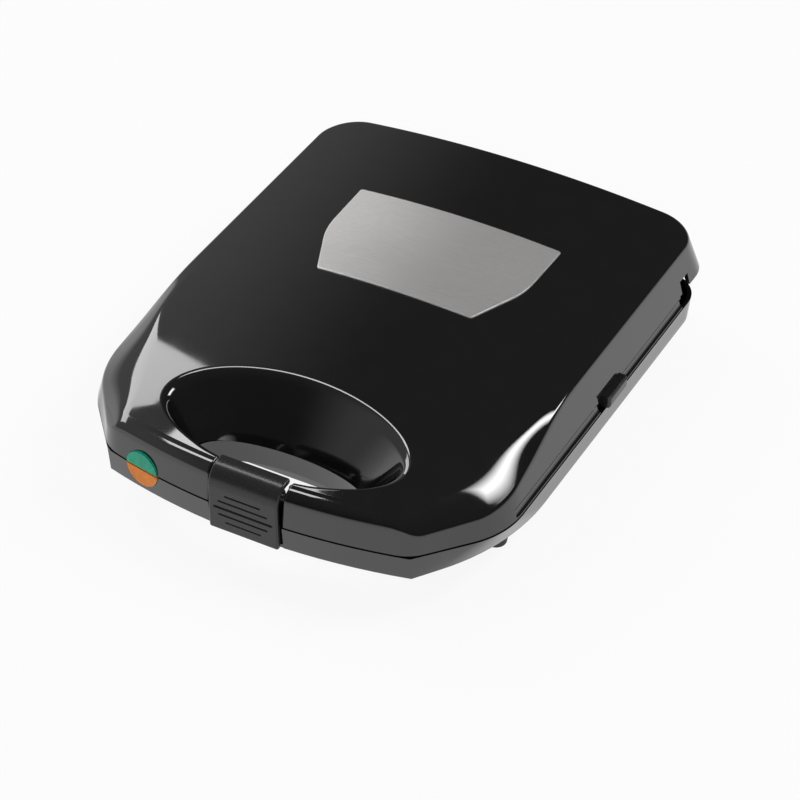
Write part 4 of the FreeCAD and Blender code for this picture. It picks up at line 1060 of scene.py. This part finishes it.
# The pieces that have each finish
DRESSED = {
    "lid_gloss": ["lid_shell"],
    "base_gloss": ["base_shell"],
    "plate_steel": ["badge_plate"],
    "frame_plastic": ["lid_inner_frame", "base_inner_frame"],
    "cooking_aluminium": ["upper_cooking_plate", "lower_cooking_plate"],
    "slider_plastic": ["upper_release_slider", "lower_release_slider"],
    "spring_steel": ["upper_release_spring", "lower_release_spring"],
    "element_steel": ["upper_heating_element", "lower_heating_element"],
    "shield_aluminium": ["upper_heat_shield", "lower_heat_shield"],
    "clip_steel": ["upper_element_clips", "lower_element_clips"],
    "green_lens": ["ready_light_lens"],
    "orange_lens": ["power_light_lens"],
    "lamp_glass": ["ready_light_lamp", "power_light_lamp"],
    "hinge_steel": ["hinge_arm_left", "hinge_arm_right", "hinge_pin_left", "hinge_pin_right", "latch_pin"],
    "foot_rubber": ["foot_front_left", "foot_front_right", "foot_rear_left", "foot_rear_right"],
    "screw_steel": ["base_screws", "lid_frame_screws", "base_frame_screws"],
    "thermostat_metal": ["thermostat"],
    "fuse_metal": ["thermal_fuse"],
    "block_plastic": ["terminal_block"],
    "gland_rubber": ["mains_inlet_gland"],
    "latch_plastic": ["latch_clip"],
}


def dress(obj, slot_name):
    obj.data.materials.clear()
    obj.data.materials.append(finishes[slot_name])


for slot_name, names in DRESSED.items():
    for name in names:
        dress(nodes[name], slot_name)
        smooth_cad(nodes[name], CAD_CREASE)
dress(lid_skin, "lid_gloss")
dress(badge_skin, "plate_steel")
dress(latch_skin, "latch_plastic")


# The release springs

def release_coil(side, body):
    """A copy of a release spring, carried by the given body in place of the spring from the model."""
    name = side + "_release_spring"
    coil = bpy.data.objects.new(side + "_release_coil", nodes[name].data.copy())
    bpy.context.scene.collection.objects.link(coil)
    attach(coil, body)
    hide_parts(name)
    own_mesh(coil)


release_coil("upper", "lid")
release_coil("lower", "base")


# Floor, light and camera, in metres and watts

FLOOR_HALF = 20.0
FLOOR_COLOUR = (0.86, 0.86, 0.86, 1)
FLOOR_GLOW_SHARE = 0.90
ROOM_TONES = [(0.0, 0.75), (0.13, 0.70), (0.24, 0.04), (1.0, 0.09)]
LEFT_GLOW_SPAN = (-0.34, -0.66)
LEFT_GLOW = (0.0, 0.32)
LAMPS_AROUND = Vector((0, 0, 0.05))
STRIP_WAY = (0.55, 0.36, 0.75)
STRIP_WIDTHS = (0.08, 0.15, 0.22, 0.29, 0.36, 0.43, 0.50)
STRIP_DISTANCE = 1.6
STRIP_APART = 0.01
STRIP_LENGTH = 0.65
STRIP_GROWTH = 0.6
STRIP_BRIGHTNESS = 2.1
CAMERA_PLACE = Vector((0.6414, -1.16239, 1.0840))
CAMERA_TARGET = Vector((0.04414, -0.06785, 0.0703))
CAMERA_LENS = 133.6
CAMERA_SENSOR = 36.0
CAMERA_NEAR = 0.01
CAMERA_FAR = 100


def mixed_output(tree, out, share, first, second):
    mix = tree.nodes.new("ShaderNodeMixShader")
    tree.links.new(share, mix.inputs["Fac"])
    tree.links.new(first.outputs[0], mix.inputs[1])
    tree.links.new(second.outputs[0], mix.inputs[2])
    tree.links.new(mix.outputs[0], out.inputs["Surface"])


def floor():
    """A pale floor that keeps the object's shadow and shows mostly white where it is seen or mirrored."""
    corners = [(-FLOOR_HALF, -FLOOR_HALF, 0), (FLOOR_HALF, -FLOOR_HALF, 0),
               (FLOOR_HALF, FLOOR_HALF, 0), (-FLOOR_HALF, FLOOR_HALF, 0)]
    mesh = bpy.data.meshes.new("floor")
    mesh.from_pydata(corners, [], [(0, 1, 2, 3)])
    made = bpy.data.objects.new("floor", mesh)
    bpy.context.scene.collection.objects.link(made)
    finish = bpy.data.materials.new("floor")
    finish.use_nodes = True
    tree = finish.node_tree
    tree.nodes.clear()
    out = tree.nodes.new("ShaderNodeOutputMaterial")
    matt = tree.nodes.new("ShaderNodeBsdfDiffuse")
    matt.inputs["Color"].default_value = FLOOR_COLOUR
    glow = tree.nodes.new("ShaderNodeEmission")
    glow.inputs["Color"].default_value = WHITE
    glow.inputs["Strength"].default_value = 1.0
    path = tree.nodes.new("ShaderNodeLightPath").outputs
    mirrored = combined(tree, "ShaderNodeMath", "MAXIMUM",
                        path["Is Glossy Ray"], path["Is Transmission Ray"])
    seen = combined(tree, "ShaderNodeMath", "MAXIMUM", path["Is Camera Ray"], mirrored)
    share = ranged(tree, seen, (0.0, FLOOR_GLOW_SHARE), (0.0, 1.0))
    mixed_output(tree, out, share, matt, glow)
    mesh.materials.append(finish)


def room():
    """White where the background shows, a low white cove behind the object, and a dim studio above it."""
    world = bpy.data.worlds.new("studio")
    bpy.context.scene.world = world
    world.use_nodes = True
    tree = world.node_tree
    tree.nodes.clear()
    out = tree.nodes.new("ShaderNodeOutputWorld")
    way = axes(tree, "Generated")
    tone = tree.nodes.new("ShaderNodeValToRGB")
    stops = tone.color_ramp.elements
    for place, _ in ROOM_TONES[1:-1]:
        stops.new(place)
    for stop, (place, grey) in zip(stops, ROOM_TONES):
        stop.position = place
        stop.color = (grey, grey, grey, 1)
    tree.links.new(way["Z"], tone.inputs["Fac"])
    left = ranged(tree, way["X"], LEFT_GLOW, LEFT_GLOW_SPAN, eased_in=True)
    sides = combined(tree, "ShaderNodeVectorMath", "ADD", tone.outputs["Color"], left)
    dim = tree.nodes.new("ShaderNodeBackground")
    dim.inputs["Strength"].default_value = 1.0
    tree.links.new(sides, dim.inputs["Color"])
    white = tree.nodes.new("ShaderNodeBackground")
    white.inputs["Color"].default_value = WHITE
    white.inputs["Strength"].default_value = 1.0
    path = tree.nodes.new("ShaderNodeLightPath").outputs
    mixed_output(tree, out, path["Is Camera Ray"], dim, white)


def softbox(name, way, distance, width, depth, power, across=(1, 0, 0)):
    """A lamp that faces the object from the given way, with its width along across."""
    lamp = bpy.data.lights.new(name, "AREA")
    lamp.shape = "RECTANGLE"
    lamp.size = width
    lamp.size_y = depth
    lamp.energy = power
    made = bpy.data.objects.new(name, lamp)
    bpy.context.scene.collection.objects.link(made)
    way = Vector(way).normalized()
    made.location = way * distance + LAMPS_AROUND
    side = Vector(across)
    side = (side - way * side.dot(way)).normalized()
    made.rotation_euler = Matrix((side, way.cross(side), way)).transposed().to_euler()
    made.visible_camera = False
    return made


def graded_strip():
    """Lamps one behind the other, each wider than the last, whose reflections add up to a soft-edged one."""
    for step, width in enumerate(STRIP_WIDTHS):
        tall = STRIP_LENGTH + STRIP_GROWTH * width
        softbox("strip", STRIP_WAY, distance=STRIP_DISTANCE + STRIP_APART * step, width=width, depth=tall,
                power=STRIP_BRIGHTNESS * math.pi * width * tall)


floor()
room()
softbox("left_box", (-0.774, 0.2365, 0.588), distance=1.6, width=0.74, depth=0.64, power=7.0,
        across=(0.292, 0.956, 0))
graded_strip()
softbox("over_strip", (-0.43, 0.065, 0.90), distance=1.7, width=0.5, depth=0.28, power=3.2)
fill = softbox("fill_box", (0.35, -0.75, 0.56), distance=2.2, width=1.4, depth=0.8, power=16.0)
fill.visible_glossy = False

view = bpy.data.cameras.new("camera")
view.sensor_width = CAMERA_SENSOR
view.sensor_fit = "HORIZONTAL"
view.lens = CAMERA_LENS
view.clip_start = CAMERA_NEAR
view.clip_end = CAMERA_FAR
camera = bpy.data.objects.new("camera", view)
bpy.context.scene.collection.objects.link(camera)
camera.location = CAMERA_PLACE
camera.rotation_euler = (CAMERA_TARGET - CAMERA_PLACE).to_track_quat("-Z", "Y").to_euler()
bpy.context.scene.camera = camera
bpy.context.scene.view_settings.view_transform = "Standard"
